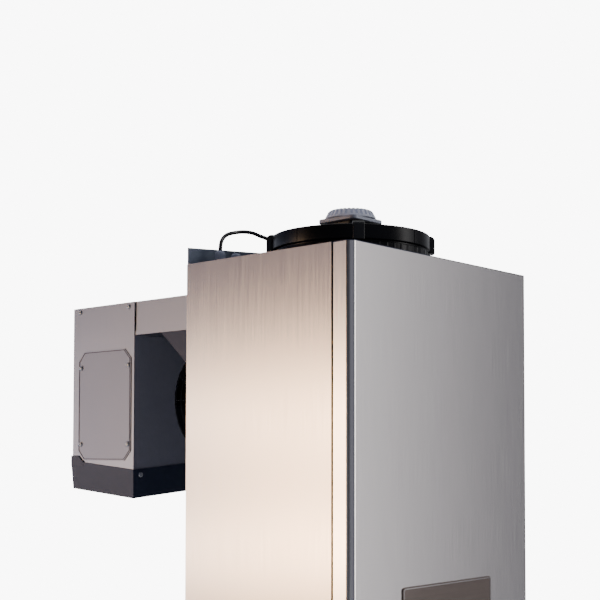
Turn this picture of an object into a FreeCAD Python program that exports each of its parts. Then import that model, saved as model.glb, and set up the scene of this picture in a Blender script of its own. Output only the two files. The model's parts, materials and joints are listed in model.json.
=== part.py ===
# Wall-mounted monoblock refrigeration unit: a tall outdoor condensing housing with a fan on its
# top, and an evaporator box that hangs inside the cold room on a shallow duct through the wall.
# Millimetres. The origin is the centre of the four wall bolts, on the plane of the wall.
# +X is the unit's right hand as seen from its front, +Y goes into the cold room, +Z is up.
import FreeCAD, Part
import math
import os
import re
import Sketcher
from FreeCAD import Placement, Rotation, Vector

doc = FreeCAD.newDocument("monoblock_unit")

SIZES = {
    # housing
    "housing_w": 550.0,
    "housing_d": 403.0,
    "housing_h": 900.0,
    "skin": 1.2,
    "plate_skin": 2.0,
    "pan_skin": 2.0,
    "deck_skin": 1.5,
    "corner_bend": 12.0,
    "return_d": 39.0,
    "return_hem": 10.0,
    "seam": 4.5,
    "flange": 18.0,
    "pan_rim": 28.0,
    "pan_drain_r": 9.0,
    "fit": 0.3,
    # wall plate
    "gable_side": 32.0,
    "gable_mid": 53.0,
    "bolt_edge_x": 32.0,
    "bolt_edge_z": 70.0,
    "bolt_hole_r": 5.0,
    # air intake louvres, low in the front cover
    "louvre_edge": 65.0,
    "louvre_slot": 7.0,
    "louvre_pitch": 20.0,
    "louvre_rows": 9,
    "louvre_gap": 40.0,
    "louvre_low": 36.0,
    "louvre_out": 7.0,
    # bare name plate
    "badge_w": 275.0,
    "badge_z": 88.0,
    "badge_lift": 8.0,
    "badge_skin": 2.0,
    "badge_corner": 7.0,
    # condenser fan
    "fan_x": 0.0,
    "fan_y": -173.0,
    "ring_out": 150.0,
    "ring_bore": 121.0,
    "ring_z": 66.0,
    "ring_wall": 3.0,
    "ring_band": 21.0,
    "ring_groove": 5.0,
    "ring_step": 3.0,
    "fan_tip": 118.0,
    "fan_hub": 48.0,
    "blade_count": 5,
    "blade_skin": 2.4,
    "blade_root": 62.0,
    "blade_tip": 88.0,
    "blade_root_angle": 42.0,
    "blade_tip_angle": 24.0,
    "blade_camber": 4.0,
    "blade_sweep": 12.0,
    "rotor_r": 44.0,
    "rotor_len": 40.0,
    "rotor_lip": 4.0,
    "hub_bite": 1.0,
    "wheel_level": 34.0,
    "shaft_r": 4.0,
    "bearing_gap": 0.05,
    "arm_w": 22.0,
    "arm_skin": 4.0,
    "arm_leg": 34.0,
    "arm_foot": 11.5,
    "guard_wire": 3.0,
    "guard_rings": 3,
    "guard_sides": 12,
    "guard_in": 52.0,
    "pedestal_w": 72.0,
    "pedestal_z": 24.0,
    "pedestal_cut": 6.0,
    "flange_cut": 9.0,
    "motor_flange_w": 88.0,
    "motor_flange_z": 8.0,
    "cap_low_r": 51.0,
    "cap_top_r": 44.0,
    "cap_z": 17.0,
    "cap_fins": 14,
    "cap_fin_deep": 4.5,
    "cap_skirt": 4.0,
    "cap_crown": 2.0,
    # cable glands on the deck
    "gland_edge": 58.0,
    "gland_y": -30.0,
    "gland_pitch": 43.0,
    "gland_r": 10.5,
    "gland_thread": 8.0,
    "gland_bore": 3.6,
    "gland_z": 24.0,
    "gland_nut_z": 5.0,
    "gland_past": 3.0,
    "cable_r": 3.2,
    # condenser coil
    "cond_left": 75.0,
    "cond_right": 50.0,
    "cond_front": 30.0,
    "cond_rear": 32.0,
    "cond_drop": 150.0,
    "cond_z": 66.0,
    "fin_pitch": 17.0,
    "fin_slot": 8.5,
    "fin_deep": 6.0,
    "end_skin": 1.5,
    "tube_r": 4.8,
    "tube_pitch": 34.0,
    "bend_start": 50.0,
    "bend_gap": 61.2,
    "sensor_in": 60.0,
    "sensor_drop": 30.0,
    "sensor_len": 46.0,
    "evbend_start": 40.0,
    "evbend_gap": 71.4,
    "rail_z": 16.0,
    "rail_w": 20.0,
    "rail_in": 60.0,
    # compressor
    "comp_x": -40.0,
    "comp_y": -210.0,
    "comp_r": 85.0,
    "comp_z": 235.0,
    "weld_out": 3.0,
    "foot_x": 230.0,
    "foot_y": 150.0,
    "foot_skin": 4.0,
    "foot_span_x": 196.0,
    "foot_span_y": 116.0,
    "grommet_r": 14.0,
    "grommet_z": 18.0,
    "stud_r": 4.0,
    "terminal_x": 50.0,
    "terminal_z": 62.0,
    "terminal_out": 26.0,
    "suction_r": 6.0,
    "discharge_r": 4.0,
    "riser_side": 33.0,
    "riser_drop": 90.0,
    "liquid_side": 38.0,
    "header_drop": 14.0,
    "port_in": 28.0,
    "feed_turn": 45.0,
    "valve_z": 30.0,
    "valve_half": 11.0,
    "valve_x": 16.0,
    "valve_drop": 12.0,
    "liquid_r": 3.0,
    "pipe_bend": 12.0,
    "pipe_sides": 6,
    "bend_steps": 2,
    "stud_sides": 6,
    "shell_sides": 20,
    "wheel_sides": 20,
    "ring_sides": 36,
    "cable_sides": 6,
    "stub": 20.0,
    # filter drier
    "drier_side": 125.0,
    "drier_y": -26.0,
    "drier_r": 17.0,
    "drier_z": 120.0,
    "drier_up": 470.0,
    # electrical box
    "ebox_x": 160.0,
    "ebox_y": 100.0,
    "ebox_z": 240.0,
    "ebox_up": 320.0,
    "ebox_front": 62.0,
    "ebox_skin": 1.5,
    "contactor_in": 20.0,
    "contactor_w": 45.0,
    "contactor_deep": 70.0,
    "contactor_z": 76.0,
    "capacitor_in": 110.0,
    "capacitor_up": 60.0,
    "capacitor_r": 20.0,
    "capacitor_len": 68.0,
    "controller_deep": 42.0,
    "controller_z": 70.0,
    "controller_drop": 30.0,
    # evaporator box
    "wall_gap": 201.0,
    "ev_inset": 40.0,
    "fold_in": 20.0,
    "fold_z": 22.0,
    "ev_h": 400.0,
    "ev_d": 201.0,
    "ev_drop": 49.0,
    "ev_fan_drop": 196.0,
    "orifice_r": 126.0,
    "bell_r": 5.0,
    "bell_len": 28.0,
    # duct
    "duct_inset": 3.0,
    "duct_z": 68.0,
    "duct_hem": 8.0,
    "gusset_y": 122.0,
    "gusset_z": 108.0,
    "gusset_skin": 2.0,
    "gusset_edge": 12.0,
    "suction_side": 14.0,
    # access plate
    "access_y0": 8.5,
    "access_w": 172.0,
    "access_gap": 18.0,
    "access_head": 94.0,
    "access_cut": 20.0,
    "access_skin": 1.5,
    "access_frame": 22.0,
    "access_screw_y": 9.0,
    "access_screw_z": 34.0,
    "screw_r": 4.2,
    "screw_sides": 12,
    "screw_head": 2.4,
    "screw_shank": 1.9,
    "screw_past": 4.0,
    "screw_hole": 2.1,
    # drip tray
    "tray_z": 59.0,
    "tray_draft": 3.8,
    "tray_fall_x": 0.086,
    "tray_fall_y": 0.083,
    "tray_skin": 1.5,
    "tray_lap": 12.0,
    "drain_x": -60.0,
    "drain_r": 11.0,
    "drain_bore": 9.0,
    "drain_len": 38.0,
    "drain_collar": 14.0,
    "drain_in": 18.0,
    "drain_lip": 3.0,
    # evaporator coil
    "evcoil_inset": 45.0,
    "evcoil_y": 60.0,
    "evcoil_back": 8.0,
    "evcoil_drop": 44.0,
    "evcoil_z": 225.0,
    "heater_r": 4.0,
    "heater_pitch": 40.0,
    # outlet grille
    "outlet_rows": 12,
    "outlet_slot": 10.0,
    "outlet_pitch": 20.0,
    "outlet_edge": 35.0,
    "outlet_rib": 20.0,
}

# Places worked out from the sizes above, as formulas in a second sheet.
PLACES = {
    "half_w": "housing_w / 2",
    "top_z": "housing_h / 2",
    "base_z": "-housing_h / 2",
    "front_y": "-housing_d",
    "inner_x": "half_w - skin",
    "slip_x": "inner_x - fit",
    "panel_front": "front_y + return_d + seam",
    "floor_z": "base_z + pan_skin",
    "deck_low": "top_z - deck_skin",
    "rib_z": "deck_low - skin",
    "guard_out": "ring_bore * cos(180 / ring_sides) - fit",
    "louvre_w": "half_w - louvre_gap / 2 - louvre_edge",
    "badge_low": "base_z + louvre_low + louvre_rows * louvre_pitch + badge_lift",
    "gland_x": "-half_w + gland_edge",
    "cond_x0": "-half_w + cond_left",
    "cond_x1": "half_w - cond_right",
    "coil_top": "top_z - cond_drop + cond_z",
    "coil_low": "top_z - cond_drop",
    "coil_y0": "front_y + cond_front",
    "coil_y1": "-cond_rear",
    "foot_z": "floor_z + grommet_z",
    "shell_z": "foot_z + foot_skin",
    "comp_in_z": "shell_z + comp_z * 0.42",
    "comp_out_z": "shell_z + comp_z * 0.66",
    "terminal_low": "shell_z + comp_z * 0.18",
    "drier_x": "-half_w + drier_side",
    "drier_low": "base_z + drier_up",
    "ebox_low": "base_z + ebox_up",
    "riser_x": "-inner_x + riser_side",
    "liquid_x": "-inner_x + liquid_side",
    "cond_stub_x": "cond_x0 - end_skin - stub / 2",
    "cond_in_y": "coil_y0 + tube_pitch",
    "cond_out_y": "coil_y1 - tube_pitch",
    "ev_half": "half_w - ev_inset",
    "ev_w": "2 * ev_half",
    "ev_inner": "ev_half - skin",
    "ev_y0": "wall_gap",
    "ev_y1": "wall_gap + ev_d",
    "ev_top": "top_z - ev_drop",
    "ev_fan_z": "ev_top - ev_fan_drop",
    "tray_low": "ev_top - ev_h",
    "duct_half": "ev_half - duct_inset",
    "suction_x": "-duct_half + suction_side",
    "outlet_w": "ev_half - outlet_rib / 2 - outlet_edge",
    "duct_low": "ev_top - duct_z",
    "pipe_z": "ev_top - duct_z / 2",
    "rim_z": "tray_low + tray_z",
    "drain_y": "ev_y0 + drain_in",
    "access_low": "rim_z + access_gap",
    "access_h": "ev_top - access_head - access_low",
    "tray_out": "tray_skin + tray_draft * tray_lap / tray_z + fit",
    "drain_rise": "tray_fall_x * (drain_x + ev_half + tray_out) + tray_fall_y * (drain_in + tray_out)",
    "drain_seat": "tray_low + drain_rise - drain_lip",
    "evcoil_y1": "ev_y1 - skin - evcoil_back",
    "evcoil_y0": "evcoil_y1 - evcoil_y",
    "evcoil_half": "ev_half - evcoil_inset",
    "evcoil_top": "ev_top - evcoil_drop",
    "sensor_x": "sensor_in - evcoil_half",
    "evcoil_low": "evcoil_top - evcoil_z",
    "suction_z": "evcoil_low + port_in",
    "ev_stub_x": "-evcoil_half - end_skin - 6",
    "valve_y": "evcoil_y0 + 13",
    "suction_y": "evcoil_y1 - 14",
    "access_y": "ev_y0 + access_y0",
}

sheet = doc.addObject("Spreadsheet::Sheet", "Sizes")
places = doc.addObject("Spreadsheet::Sheet", "Places")
scratch = doc.addObject("Spreadsheet::Sheet", "Scratch")
nodes = {}


def formula(text, own=""):
    """Puts the name of its sheet before each alias in a formula, except the sheet's own."""
    def named(match):
        word = match.group(0)
        if word in SIZES:
            return "Sizes." + word
        if word in PLACES and own != "Places":
            return "Places." + word
        return word
    return re.sub(r"[a-z][a-z_0-9]*", named, str(text))


def fill_sheets():
    """Writes the driving sizes as plain numbers and the places as formulas, each with an alias."""
    for row, (name, size) in enumerate(SIZES.items(), start=1):
        sheet.set("A%d" % row, name)
        sheet.set("B%d" % row, str(size))
        sheet.setAlias("B%d" % row, name)
    doc.recompute()
    for row, (name, text) in enumerate(PLACES.items(), start=1):
        places.set("A%d" % row, name)
        places.setAlias("B%d" % row, name)
        places.set("B%d" % row, "=" + formula(text, "Places"))
    doc.recompute()


def number(text):
    """The value of a formula now, in millimetres or degrees."""
    scratch.set("A1", "=" + formula(text))
    scratch.recompute()
    return float(scratch.get("A1"))


def point(x, y, z):
    return Vector(number(x), number(y), number(z))


def bind(thing, path, text):
    thing.setExpression(path, formula(text))


def put(thing, x, y, z, turn=None):
    """Ties a thing's place to the sheets, with a fixed turn."""
    thing.Placement = Placement(point(x, y, z), turn if turn else Rotation())
    for axis, text in zip("xyz", (x, y, z)):
        bind(thing, "Placement.Base." + axis, text)


def keep(thing, node):
    """Names a finished sub-part: the label is also the name of its file."""
    thing.Label = node
    nodes[node] = thing
    return thing


# Turns that lay a thing drawn along +Z on another axis.
ALONG = {
    "z": Rotation(),
    "-z": Rotation(Vector(1, 0, 0), 180),
    "x": Rotation(Vector(0, 1, 0), 90),
    "-x": Rotation(Vector(0, 1, 0), -90),
    "y": Rotation(Vector(1, 0, 0), -90),
    "-y": Rotation(Vector(1, 0, 0), 90),
}


def block(low, high):
    """A box between two corners."""
    box = doc.addObject("Part::Box", "block")
    put(box, *low)
    for path, a, b in zip(("Length", "Width", "Height"), low, high):
        bind(box, path, "(%s) - (%s)" % (b, a))
    return box


def rod(start, radius, length, along="z"):
    """A round bar from its start, along one axis."""
    bar = doc.addObject("Part::Cylinder", "rod")
    bind(bar, "Radius", radius)
    bind(bar, "Height", length)
    put(bar, *start, turn=ALONG[along])
    return bar


def cut(base, *tools):
    """Takes the tools out of the base."""
    tool = tools[0]
    if len(tools) > 1:
        tool = join(*tools)
    result = doc.addObject("Part::Cut", "cut")
    result.Base = base
    result.Tool = tool
    return result


def join(*shapes):
    """One solid from several that touch or cross."""
    result = doc.addObject("Part::MultiFuse", "join")
    result.Shapes = list(shapes)
    result.Refine = True
    return result


def group(*shapes):
    """Identical pieces that share a node, each a solid of its own."""
    result = doc.addObject("Part::Compound", "group")
    result.Links = list(shapes)
    return result


def new_body(name):
    return doc.addObject("PartDesign::Body", name)


def sketch_on(body, name, role, offset="0"):
    """A sketch on one of the body's own origin planes, moved along the plane's normal."""
    plane = [item for item in body.Origin.OriginFeatures if item.Role == role][0]
    drawing = body.newObject("Sketcher::SketchObject", name)
    drawing.AttachmentSupport = [(plane, "")]
    drawing.MapMode = "FlatFace"
    bind(drawing, "AttachmentOffset.Base.z", offset)
    return drawing


def draw(drawing, corners):
    """A closed outline whose corners are each tied to the sheets by two distances."""
    spots = [Vector(number(a), number(b), 0) for a, b in corners]
    first = drawing.GeometryCount
    count = len(corners)
    for i in range(count):
        drawing.addGeometry(Part.LineSegment(spots[i], spots[(i + 1) % count]), False)
    for i in range(count):
        after = first + (i + 1) % count
        drawing.addConstraint(Sketcher.Constraint("Coincident", first + i, 2, after, 1))
    for i, (a, b) in enumerate(corners):
        across = drawing.addConstraint(
            Sketcher.Constraint("DistanceX", -1, 1, first + i, 1, spots[i].x))
        up = drawing.addConstraint(
            Sketcher.Constraint("DistanceY", -1, 1, first + i, 1, spots[i].y))
        bind(drawing, "Constraints[%d]" % across, a)
        bind(drawing, "Constraints[%d]" % up, b)


def draw_circle(drawing, a, b, radius):
    centre = Vector(number(a), number(b), 0)
    index = drawing.addGeometry(Part.Circle(centre, Vector(0, 0, 1), number(radius)), False)
    for kind, text, now in (("DistanceX", a, centre.x), ("DistanceY", b, centre.y)):
        tie = drawing.addConstraint(Sketcher.Constraint(kind, -1, 1, index, 3, now))
        bind(drawing, "Constraints[%d]" % tie, text)
    tie = drawing.addConstraint(Sketcher.Constraint("Radius", index, number(radius)))
    bind(drawing, "Constraints[%d]" % tie, radius)


def pad(body, drawing, length):
    """Pads a sketch along its plane's normal."""
    feature = body.newObject("PartDesign::Pad", drawing.Name + "_pad")
    feature.Profile = drawing
    bind(feature, "Length", length)
    return feature


def pocket(body, drawing):
    """Cuts a sketch right through the body, both ways."""
    feature = body.newObject("PartDesign::Pocket", drawing.Name + "_pocket")
    feature.Profile = drawing
    feature.Type = "ThroughAll"
    feature.Midplane = True
    return feature


def prism(name, role, offset, corners, length):
    """A body with one padded outline. The XZ plane's normal is -Y, the YZ plane's is +X."""
    body = new_body(name)
    drawing = sketch_on(body, name + "_outline", role, offset)
    draw(drawing, corners)
    pad(body, drawing, length)
    return body


def even_sides(a, b, radius):
    """Six corners round a centre, their flats clear of a screw of the same form."""
    corners = []
    for step in range(6):
        around = math.radians(60 * step)
        corners.append(("%s + (%s) * %.5f" % (a, radius, math.cos(around)),
                        "%s + (%s) * %.5f" % (b, radius, math.sin(around))))
    return corners


def rectangle(x0, y0, x1, y1):
    return [(x0, y0), (x1, y0), (x1, y1), (x0, y1)]


def bent_path(points, bends):
    """A wire of straight runs joined by tangent arcs, each of its own radius."""
    edges = []
    here = points[0]
    for i in range(1, len(points) - 1):
        back = (points[i - 1] - points[i]).normalize()
        ahead = (points[i + 1] - points[i]).normalize()
        turn = math.pi - back.getAngle(ahead)
        radius = bends[i - 1]
        reach = radius * math.tan(turn / 2)
        start = points[i] + back * reach
        end = points[i] + ahead * reach
        bisector = (back + ahead).normalize()
        centre = points[i] + bisector * (radius / math.cos(turn / 2))
        edges.append(Part.LineSegment(here, start).toShape())
        edges.append(Part.Arc(start, centre - bisector * radius, end).toShape())
        here = end
    edges.append(Part.LineSegment(here, points[-1]).toShape())
    return Part.Wire(edges)


def flat_face(corners):
    return Part.Face(Part.makePolygon(list(corners) + [corners[0]]))


def faceted(rings):
    """A solid of flat faces between closed outlines that have as many corners each."""
    faces = [flat_face(rings[0]), flat_face(rings[-1])]
    for near, far in zip(rings, rings[1:]):
        for i in range(len(near)):
            j = (i + 1) % len(near)
            a, b, c, d = near[i], near[j], far[j], far[i]
            if abs((b - a).cross(c - a).dot(d - a)) < 1e-6:
                faces.append(flat_face([a, b, c, d]))
            else:
                faces += [flat_face([a, b, c]), flat_face([a, c, d])]
    return closed(faces)


def closed(faces):
    """The solid inside a set of faces, with its skin turned outwards."""
    solid = Part.makeSolid(Part.makeShell(faces))
    if solid.Volume < 0:
        solid.reverse()
    return solid


def even_ring(centre, ahead, radius, sides):
    """The corners of equal sides round a centre, at a radius."""
    across = ahead.cross(Vector(0.31, 0.47, 0.83)).normalize()
    corners = []
    for step in range(sides):
        turn = Rotation(ahead, 360.0 * step / sides)
        corners.append(centre + turn.multVec(across * radius))
    return corners


def section_area(radius, sides):
    return sides / 2 * math.sin(2 * math.pi / sides) * radius ** 2


def stepped_route(points, bend):
    """A route whose bends are drawn as a few short straight steps."""
    route = [points[0]]
    for before, here, after in zip(points, points[1:], points[2:]):
        back = (before - here).normalize()
        ahead = (after - here).normalize()
        turn = math.pi - back.getAngle(ahead)
        centre = here + (back + ahead).normalize() * (bend / math.cos(turn / 2))
        arm = here + back * (bend * math.tan(turn / 2)) - centre
        axis = ahead.cross(back)
        for step in range(SIZES["bend_steps"] + 1):
            swing = Rotation(axis, math.degrees(turn) * step / SIZES["bend_steps"])
            route.append(centre + swing.multVec(arm))
    return route + [points[-1]]


def mitred(points, radius, bend):
    """A flat-sided tube: its section is carried from corner to corner on the mitre planes."""
    route = stepped_route(points, bend)
    ahead = (route[1] - route[0]).normalize()
    corners = even_ring(route[0], ahead, radius, SIZES["pipe_sides"])
    rings = [corners]
    for here, after, beyond in zip(route, route[1:], route[2:] + [None]):
        ahead = (after - here).normalize()
        normal = ahead if beyond is None else (ahead + (beyond - after).normalize()).normalize()
        corners = [spot + ahead * ((after - spot).dot(normal) / ahead.dot(normal)) for spot in corners]
        rings.append(corners)
    return faceted(rings)


def pipe(node, points, radius, bend):
    """A pipe along a route whose points are formulas."""
    piece = doc.addObject("Part::Feature", node)
    piece.Shape = mitred([point(*spot) for spot in points], number(radius), bend)
    return keep(piece, node)


def cord(node, points, radius, bends, sides):
    """A lead along chosen points: a many-sided section swept once along runs and arcs."""
    spots = [Vector(*spot) for spot in points]
    corners = even_ring(spots[0], (spots[1] - spots[0]).normalize(), number(radius), SIZES[sides])
    section = Part.makePolygon(corners + [corners[0]])
    piece = doc.addObject("Part::Feature", node)
    piece.Shape = bent_path(spots, bends).makePipeShell([section], True, False)
    return keep(piece, node)


def straight_sided(start, radius, length, sides):
    """A bar of equal flat sides along Z."""
    bar = doc.addObject("Part::Prism", "straight_sided")
    bar.Polygon = SIZES[sides]
    bind(bar, "Circumradius", radius)
    bind(bar, "Height", length)
    put(bar, *start)
    return bar


def encircled(name, profile, sides):
    """A hollow piece of equal flat sides about Z, from a closed profile of radius and height."""
    rings = []
    for radius, level in profile:
        centre = Vector(0, 0, number(level))
        rings.append(even_ring(centre, Vector(0, 0, 1), number(radius), SIZES[sides]))
    faces = []
    for near, far in zip(rings, rings[1:] + rings[:1]):
        for i in range(len(near)):
            j = (i + 1) % len(near)
            faces.append(flat_face([near[i], near[j], far[j], far[i]]))
    piece = doc.addObject("Part::Feature", name)
    piece.Shape = closed(faces)
    return piece


def stacked(name, levels, sides):
    """A piece of equal flat sides about Z, from the radius at each of its levels."""
    rings = []
    for radius, level in levels:
        centre = Vector(0, 0, number(level))
        rings.append(even_ring(centre, Vector(0, 0, 1), number(radius), SIZES[sides]))
    piece = doc.addObject("Part::Feature", name)
    piece.Shape = faceted(rings)
    return piece


fill_sheets()


def make_wall_plate():
    """Flat plate against the wall: gable top, duct mouth and the four bolt holes."""
    body = new_body("wall_plate_body")
    outline = sketch_on(body, "wall_plate_outline", "XZ_Plane", "0")
    draw(outline, [("-slip_x", "base_z"), ("slip_x", "base_z"), ("slip_x", "top_z + gable_side"),
                   ("0", "top_z + gable_mid"), ("-slip_x", "top_z + gable_side")])
    pad(body, outline, "plate_skin")
    mouth = sketch_on(body, "duct_mouth", "XZ_Plane", "0")
    side, notch = "(duct_half + skin + fit)", "(duct_half - gusset_edge - fit)"
    head, sill, foot = "ev_top + fit", "duct_low - fit", "duct_low - gusset_z - fit"
    draw(mouth, [("-" + side, head), (side, head), (side, foot), (notch, foot),
                 (notch, sill), ("-" + notch, sill), ("-" + notch, foot), ("-" + side, foot)])
    pocket(body, mouth)
    holes = sketch_on(body, "wall_bolt_holes", "XZ_Plane", "0")
    for x in ("bolt_edge_x - half_w", "half_w - bolt_edge_x"):
        for z in ("bolt_edge_z - top_z", "top_z - bolt_edge_z"):
            draw_circle(holes, x, z, "bolt_hole_r")
    pocket(body, holes)
    keep(body, "rear_wall_plate")


def make_base_pan():
    """Folded pan that closes the bottom and carries the compressor on four studs."""
    narrow = "(half_w - return_hem - fit)"
    front = "front_y + skin + fit"
    outer = join(block(("-" + narrow, front, "base_z"), (narrow, "-plate_skin", "base_z + pan_rim")),
                 block(("-slip_x", "panel_front", "base_z"), ("slip_x", "-plate_skin", "base_z + pan_rim")))
    inner = join(block(("-%s + pan_skin" % narrow, front + " + pan_skin", "floor_z"),
                       (narrow + " - pan_skin", "-plate_skin - pan_skin", "base_z + pan_rim + 1")),
                 block(("-slip_x + pan_skin", "panel_front + pan_skin", "floor_z"),
                       ("slip_x - pan_skin", "-plate_skin - pan_skin", "base_z + pan_rim + 1")))
    drain = straight_sided(("half_w / 2", "front_y / 6", "base_z - 1"), "pan_drain_r", "pan_skin + 2",
                           "screw_sides")
    holes = []
    for x in ("comp_x - foot_span_x / 2", "comp_x + foot_span_x / 2"):
        for y in ("comp_y - foot_span_y / 2", "comp_y + foot_span_y / 2"):
            holes.append(straight_sided((x, y, "base_z - 1"), "stud_r + fit", "pan_skin + 2", "stud_sides"))
    keep(cut(outer, inner, drain, *holes), "base_pan")


def make_side_panel(node, side):
    """Folded side panel: skin, front and rear flange, and a top flange that carries the deck."""
    def at(text):
        return text if side > 0 else "-(%s)" % text
    profile = [(at("half_w"), "0"), (at("half_w"), "panel_front"), (at("half_w - flange"), "panel_front"),
               (at("half_w - flange"), "panel_front + skin"), (at("inner_x"), "panel_front + skin"),
               (at("inner_x"), "-plate_skin - skin"), (at("half_w - flange"), "-plate_skin - skin"),
               (at("half_w - flange"), "-plate_skin"), (at("inner_x"), "-plate_skin"), (at("inner_x"), "0")]
    body = prism(node + "_skin", "XY_Plane", "base_z + pan_rim + fit", profile,
                 "rib_z - base_z - pan_rim - fit")
    inner, outer = ("inner_x", "half_w") if side > 0 else ("-half_w", "-inner_x")
    low = block((inner, "panel_front", "base_z"), (outer, "0", "base_z + pan_rim + fit"))
    high = block((inner, "panel_front", "rib_z"), (outer, "0", "top_z"))
    ledge_in, ledge_out = ("half_w - flange", "inner_x") if side > 0 else ("-inner_x", "-half_w + flange")
    ledge = block((ledge_in, "panel_front", "rib_z"), (ledge_out, "-plate_skin", "deck_low"))
    keep(join(body, low, high, ledge), node)


def bend_corner(body, feature, x, y, radius):
    """Fillets the two upright edges at a distance either side of the middle."""
    names = []
    for index, edge in enumerate(feature.Shape.Edges, start=1):
        spot = edge.CenterOfMass
        if abs(abs(spot.x) - number(x)) < 0.01 and abs(spot.y - number(y)) < 0.01:
            names.append("Edge%d" % index)
    bend = body.newObject("PartDesign::Fillet", "bend_at_" + x)
    bend.Base = (feature, names)
    bind(bend, "Radius", radius)
    body.Tip = bend
    return bend


def make_front_cover():
    """Front cover: one sheet bent round both front corners, with hems and pressed louvres."""
    half = [("half_w", "panel_front - seam"), ("half_w", "front_y")]
    inside = [("half_w - return_hem", "panel_front - seam"),
              ("half_w - return_hem", "panel_front - seam - skin"),
              ("inner_x", "panel_front - seam - skin"), ("inner_x", "front_y + skin")]
    mirrored = [("-(%s)" % x, y) for x, y in half]
    mirrored_inside = [("-(%s)" % x, y) for x, y in inside]
    profile = mirrored + half[::-1] + inside + mirrored_inside[::-1]
    body = new_body("front_cover_body")
    outline = sketch_on(body, "front_cover_outline", "XY_Plane", "base_z")
    draw(outline, profile)
    sheet_pad = pad(body, outline, "housing_h - deck_skin")
    doc.recompute()
    outer_bend = bend_corner(body, sheet_pad, "half_w", "front_y", "corner_bend")
    doc.recompute()
    bend_corner(body, outer_bend, "inner_x", "front_y + skin", "corner_bend - skin")
    slots = []
    hoods = []
    for column in ("-louvre_w - louvre_gap / 2", "louvre_gap / 2"):
        for row in range(SIZES["louvre_rows"]):
            low = "base_z + louvre_low + %d * louvre_pitch" % row
            slots.append(block((column, "front_y - 1", low),
                               ("%s + louvre_w" % column, "front_y + skin + 1", "%s + louvre_slot" % low)))
            hood = prism("hood", "YZ_Plane", column,
                         [("front_y", "%s + louvre_slot + louvre_out" % low),
                          ("front_y - louvre_out", "%s + skin" % low),
                          ("front_y - louvre_out + skin", "%s" % low),
                          ("front_y", "%s + louvre_slot + louvre_out - 2 * skin" % low)], "louvre_w")
            hoods.append(hood)
    keep(join(cut(body, *slots), *hoods), "front_cover")


def make_top_deck():
    """Flat deck with the fan's opening and two gland holes, on the side panels' ledges."""
    body = new_body("top_deck_body")
    outline = sketch_on(body, "deck_outline", "XY_Plane", "deck_low")
    draw(outline, [("-half_w", "front_y"), ("half_w", "front_y"), ("half_w", "panel_front - seam"),
                   ("slip_x", "panel_front - seam"), ("slip_x", "-plate_skin - fit"),
                   ("-slip_x", "-plate_skin - fit"), ("-slip_x", "panel_front - seam"),
                   ("-half_w", "panel_front - seam")])
    deck = pad(body, outline, "deck_skin")
    doc.recompute()
    front = number("front_y")
    names = []
    for index, edge in enumerate(deck.Shape.Edges, start=1):
        if abs(edge.CenterOfMass.y - front) < 0.01 and edge.Length < 3 * number("deck_skin"):
            names.append("Edge%d" % index)
    corners = body.newObject("PartDesign::Fillet", "deck_corners")
    corners.Base = (deck, names)
    bind(corners, "Radius", "corner_bend")
    body.Tip = corners
    openings = sketch_on(body, "deck_openings", "XY_Plane", "deck_low")
    draw_circle(openings, "fan_x", "fan_y", "ring_bore")
    draw_circle(openings, "gland_x", "gland_y", "gland_thread + fit")
    draw_circle(openings, "gland_x + gland_pitch", "gland_y", "gland_thread + fit")
    pocket(body, openings)
    keep(body, "top_deck")


def make_name_plate():
    """Bare plate on the front cover, with round corners."""
    body = new_body("name_plate_body")
    outline = sketch_on(body, "name_plate_outline", "XZ_Plane", "housing_d")
    draw(outline, rectangle("-badge_w / 2", "badge_low", "badge_w / 2", "badge_low + badge_z"))
    plate = pad(body, outline, "badge_skin")
    doc.recompute()
    round_corners(body, plate, "badge_corner", lambda way: abs(way.y) > 0.9)
    keep(body, "name_plate")


def round_corners(body, feature, radius, pick):
    """Fillets the feature's straight edges whose direction the test picks."""
    names = []
    for index, edge in enumerate(feature.Shape.Edges, start=1):
        way = (edge.Vertexes[-1].Point - edge.Vertexes[0].Point)
        if way.Length > 0 and pick(way.normalize()):
            names.append("Edge%d" % index)
    fillet = body.newObject("PartDesign::Fillet", body.Name + "_rounded")
    fillet.Base = (feature, names)
    bind(fillet, "Radius", radius)
    body.Tip = fillet
    return fillet


# Both fans are drawn about Z, with their mouth at height 0, and then laid in their place.
def seat_fan(thing, side, level="0"):
    """Lays a fan piece on the condenser fan's axis or on the evaporator fan's."""
    if side == "condenser":
        put(thing, "fan_x", "fan_y", "top_z + (%s)" % level, ALONG["z"])
    else:
        put(thing, "0", "ev_y0 + (%s)" % level, "ev_fan_z", ALONG["y"])
    return thing


def make_fan_ring():
    """Moulded ring on the deck: a bore, a skirted rim and a step below it, open underneath."""
    inner_r = "ring_bore + ring_wall"
    rim_low = "ring_z - ring_band"
    step_top = "ring_z - ring_band - ring_groove"
    step_r = "ring_out - ring_step"
    neck_r = "ring_out - 2 * ring_wall"
    ring = encircled("fan_ring", [
        ("ring_bore", "0"), ("ring_bore", "ring_z"), ("ring_out", "ring_z"), ("ring_out", rim_low),
        (neck_r, rim_low), (neck_r, step_top), (step_r, step_top), (step_r, "0"),
        (neck_r + " - ring_wall", "0"), (neck_r + " - ring_wall", "ring_z - ring_wall"),
        (inner_r, "ring_z - ring_wall"), (inner_r, "0")], "ring_sides")
    keep(seat_fan(ring, "condenser"), "condenser_fan_ring")


def spoke_box(length, width, height, start, level, angle):
    """A bar that lies along one spoke from a radius outwards, centred on the spoke."""
    bar = doc.addObject("Part::Box", "spoke")
    bind(bar, "Length", length)
    bind(bar, "Width", width)
    bind(bar, "Height", height)
    away = math.radians(angle)
    x = "(%s) * %.6f + (%s) / 2 * %.6f" % (start, math.cos(away), width, math.sin(away))
    y = "(%s) * %.6f - (%s) / 2 * %.6f" % (start, math.sin(away), width, math.cos(away))
    put(bar, x, y, level, Rotation(Vector(0, 0, 1), angle))
    return bar


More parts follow.
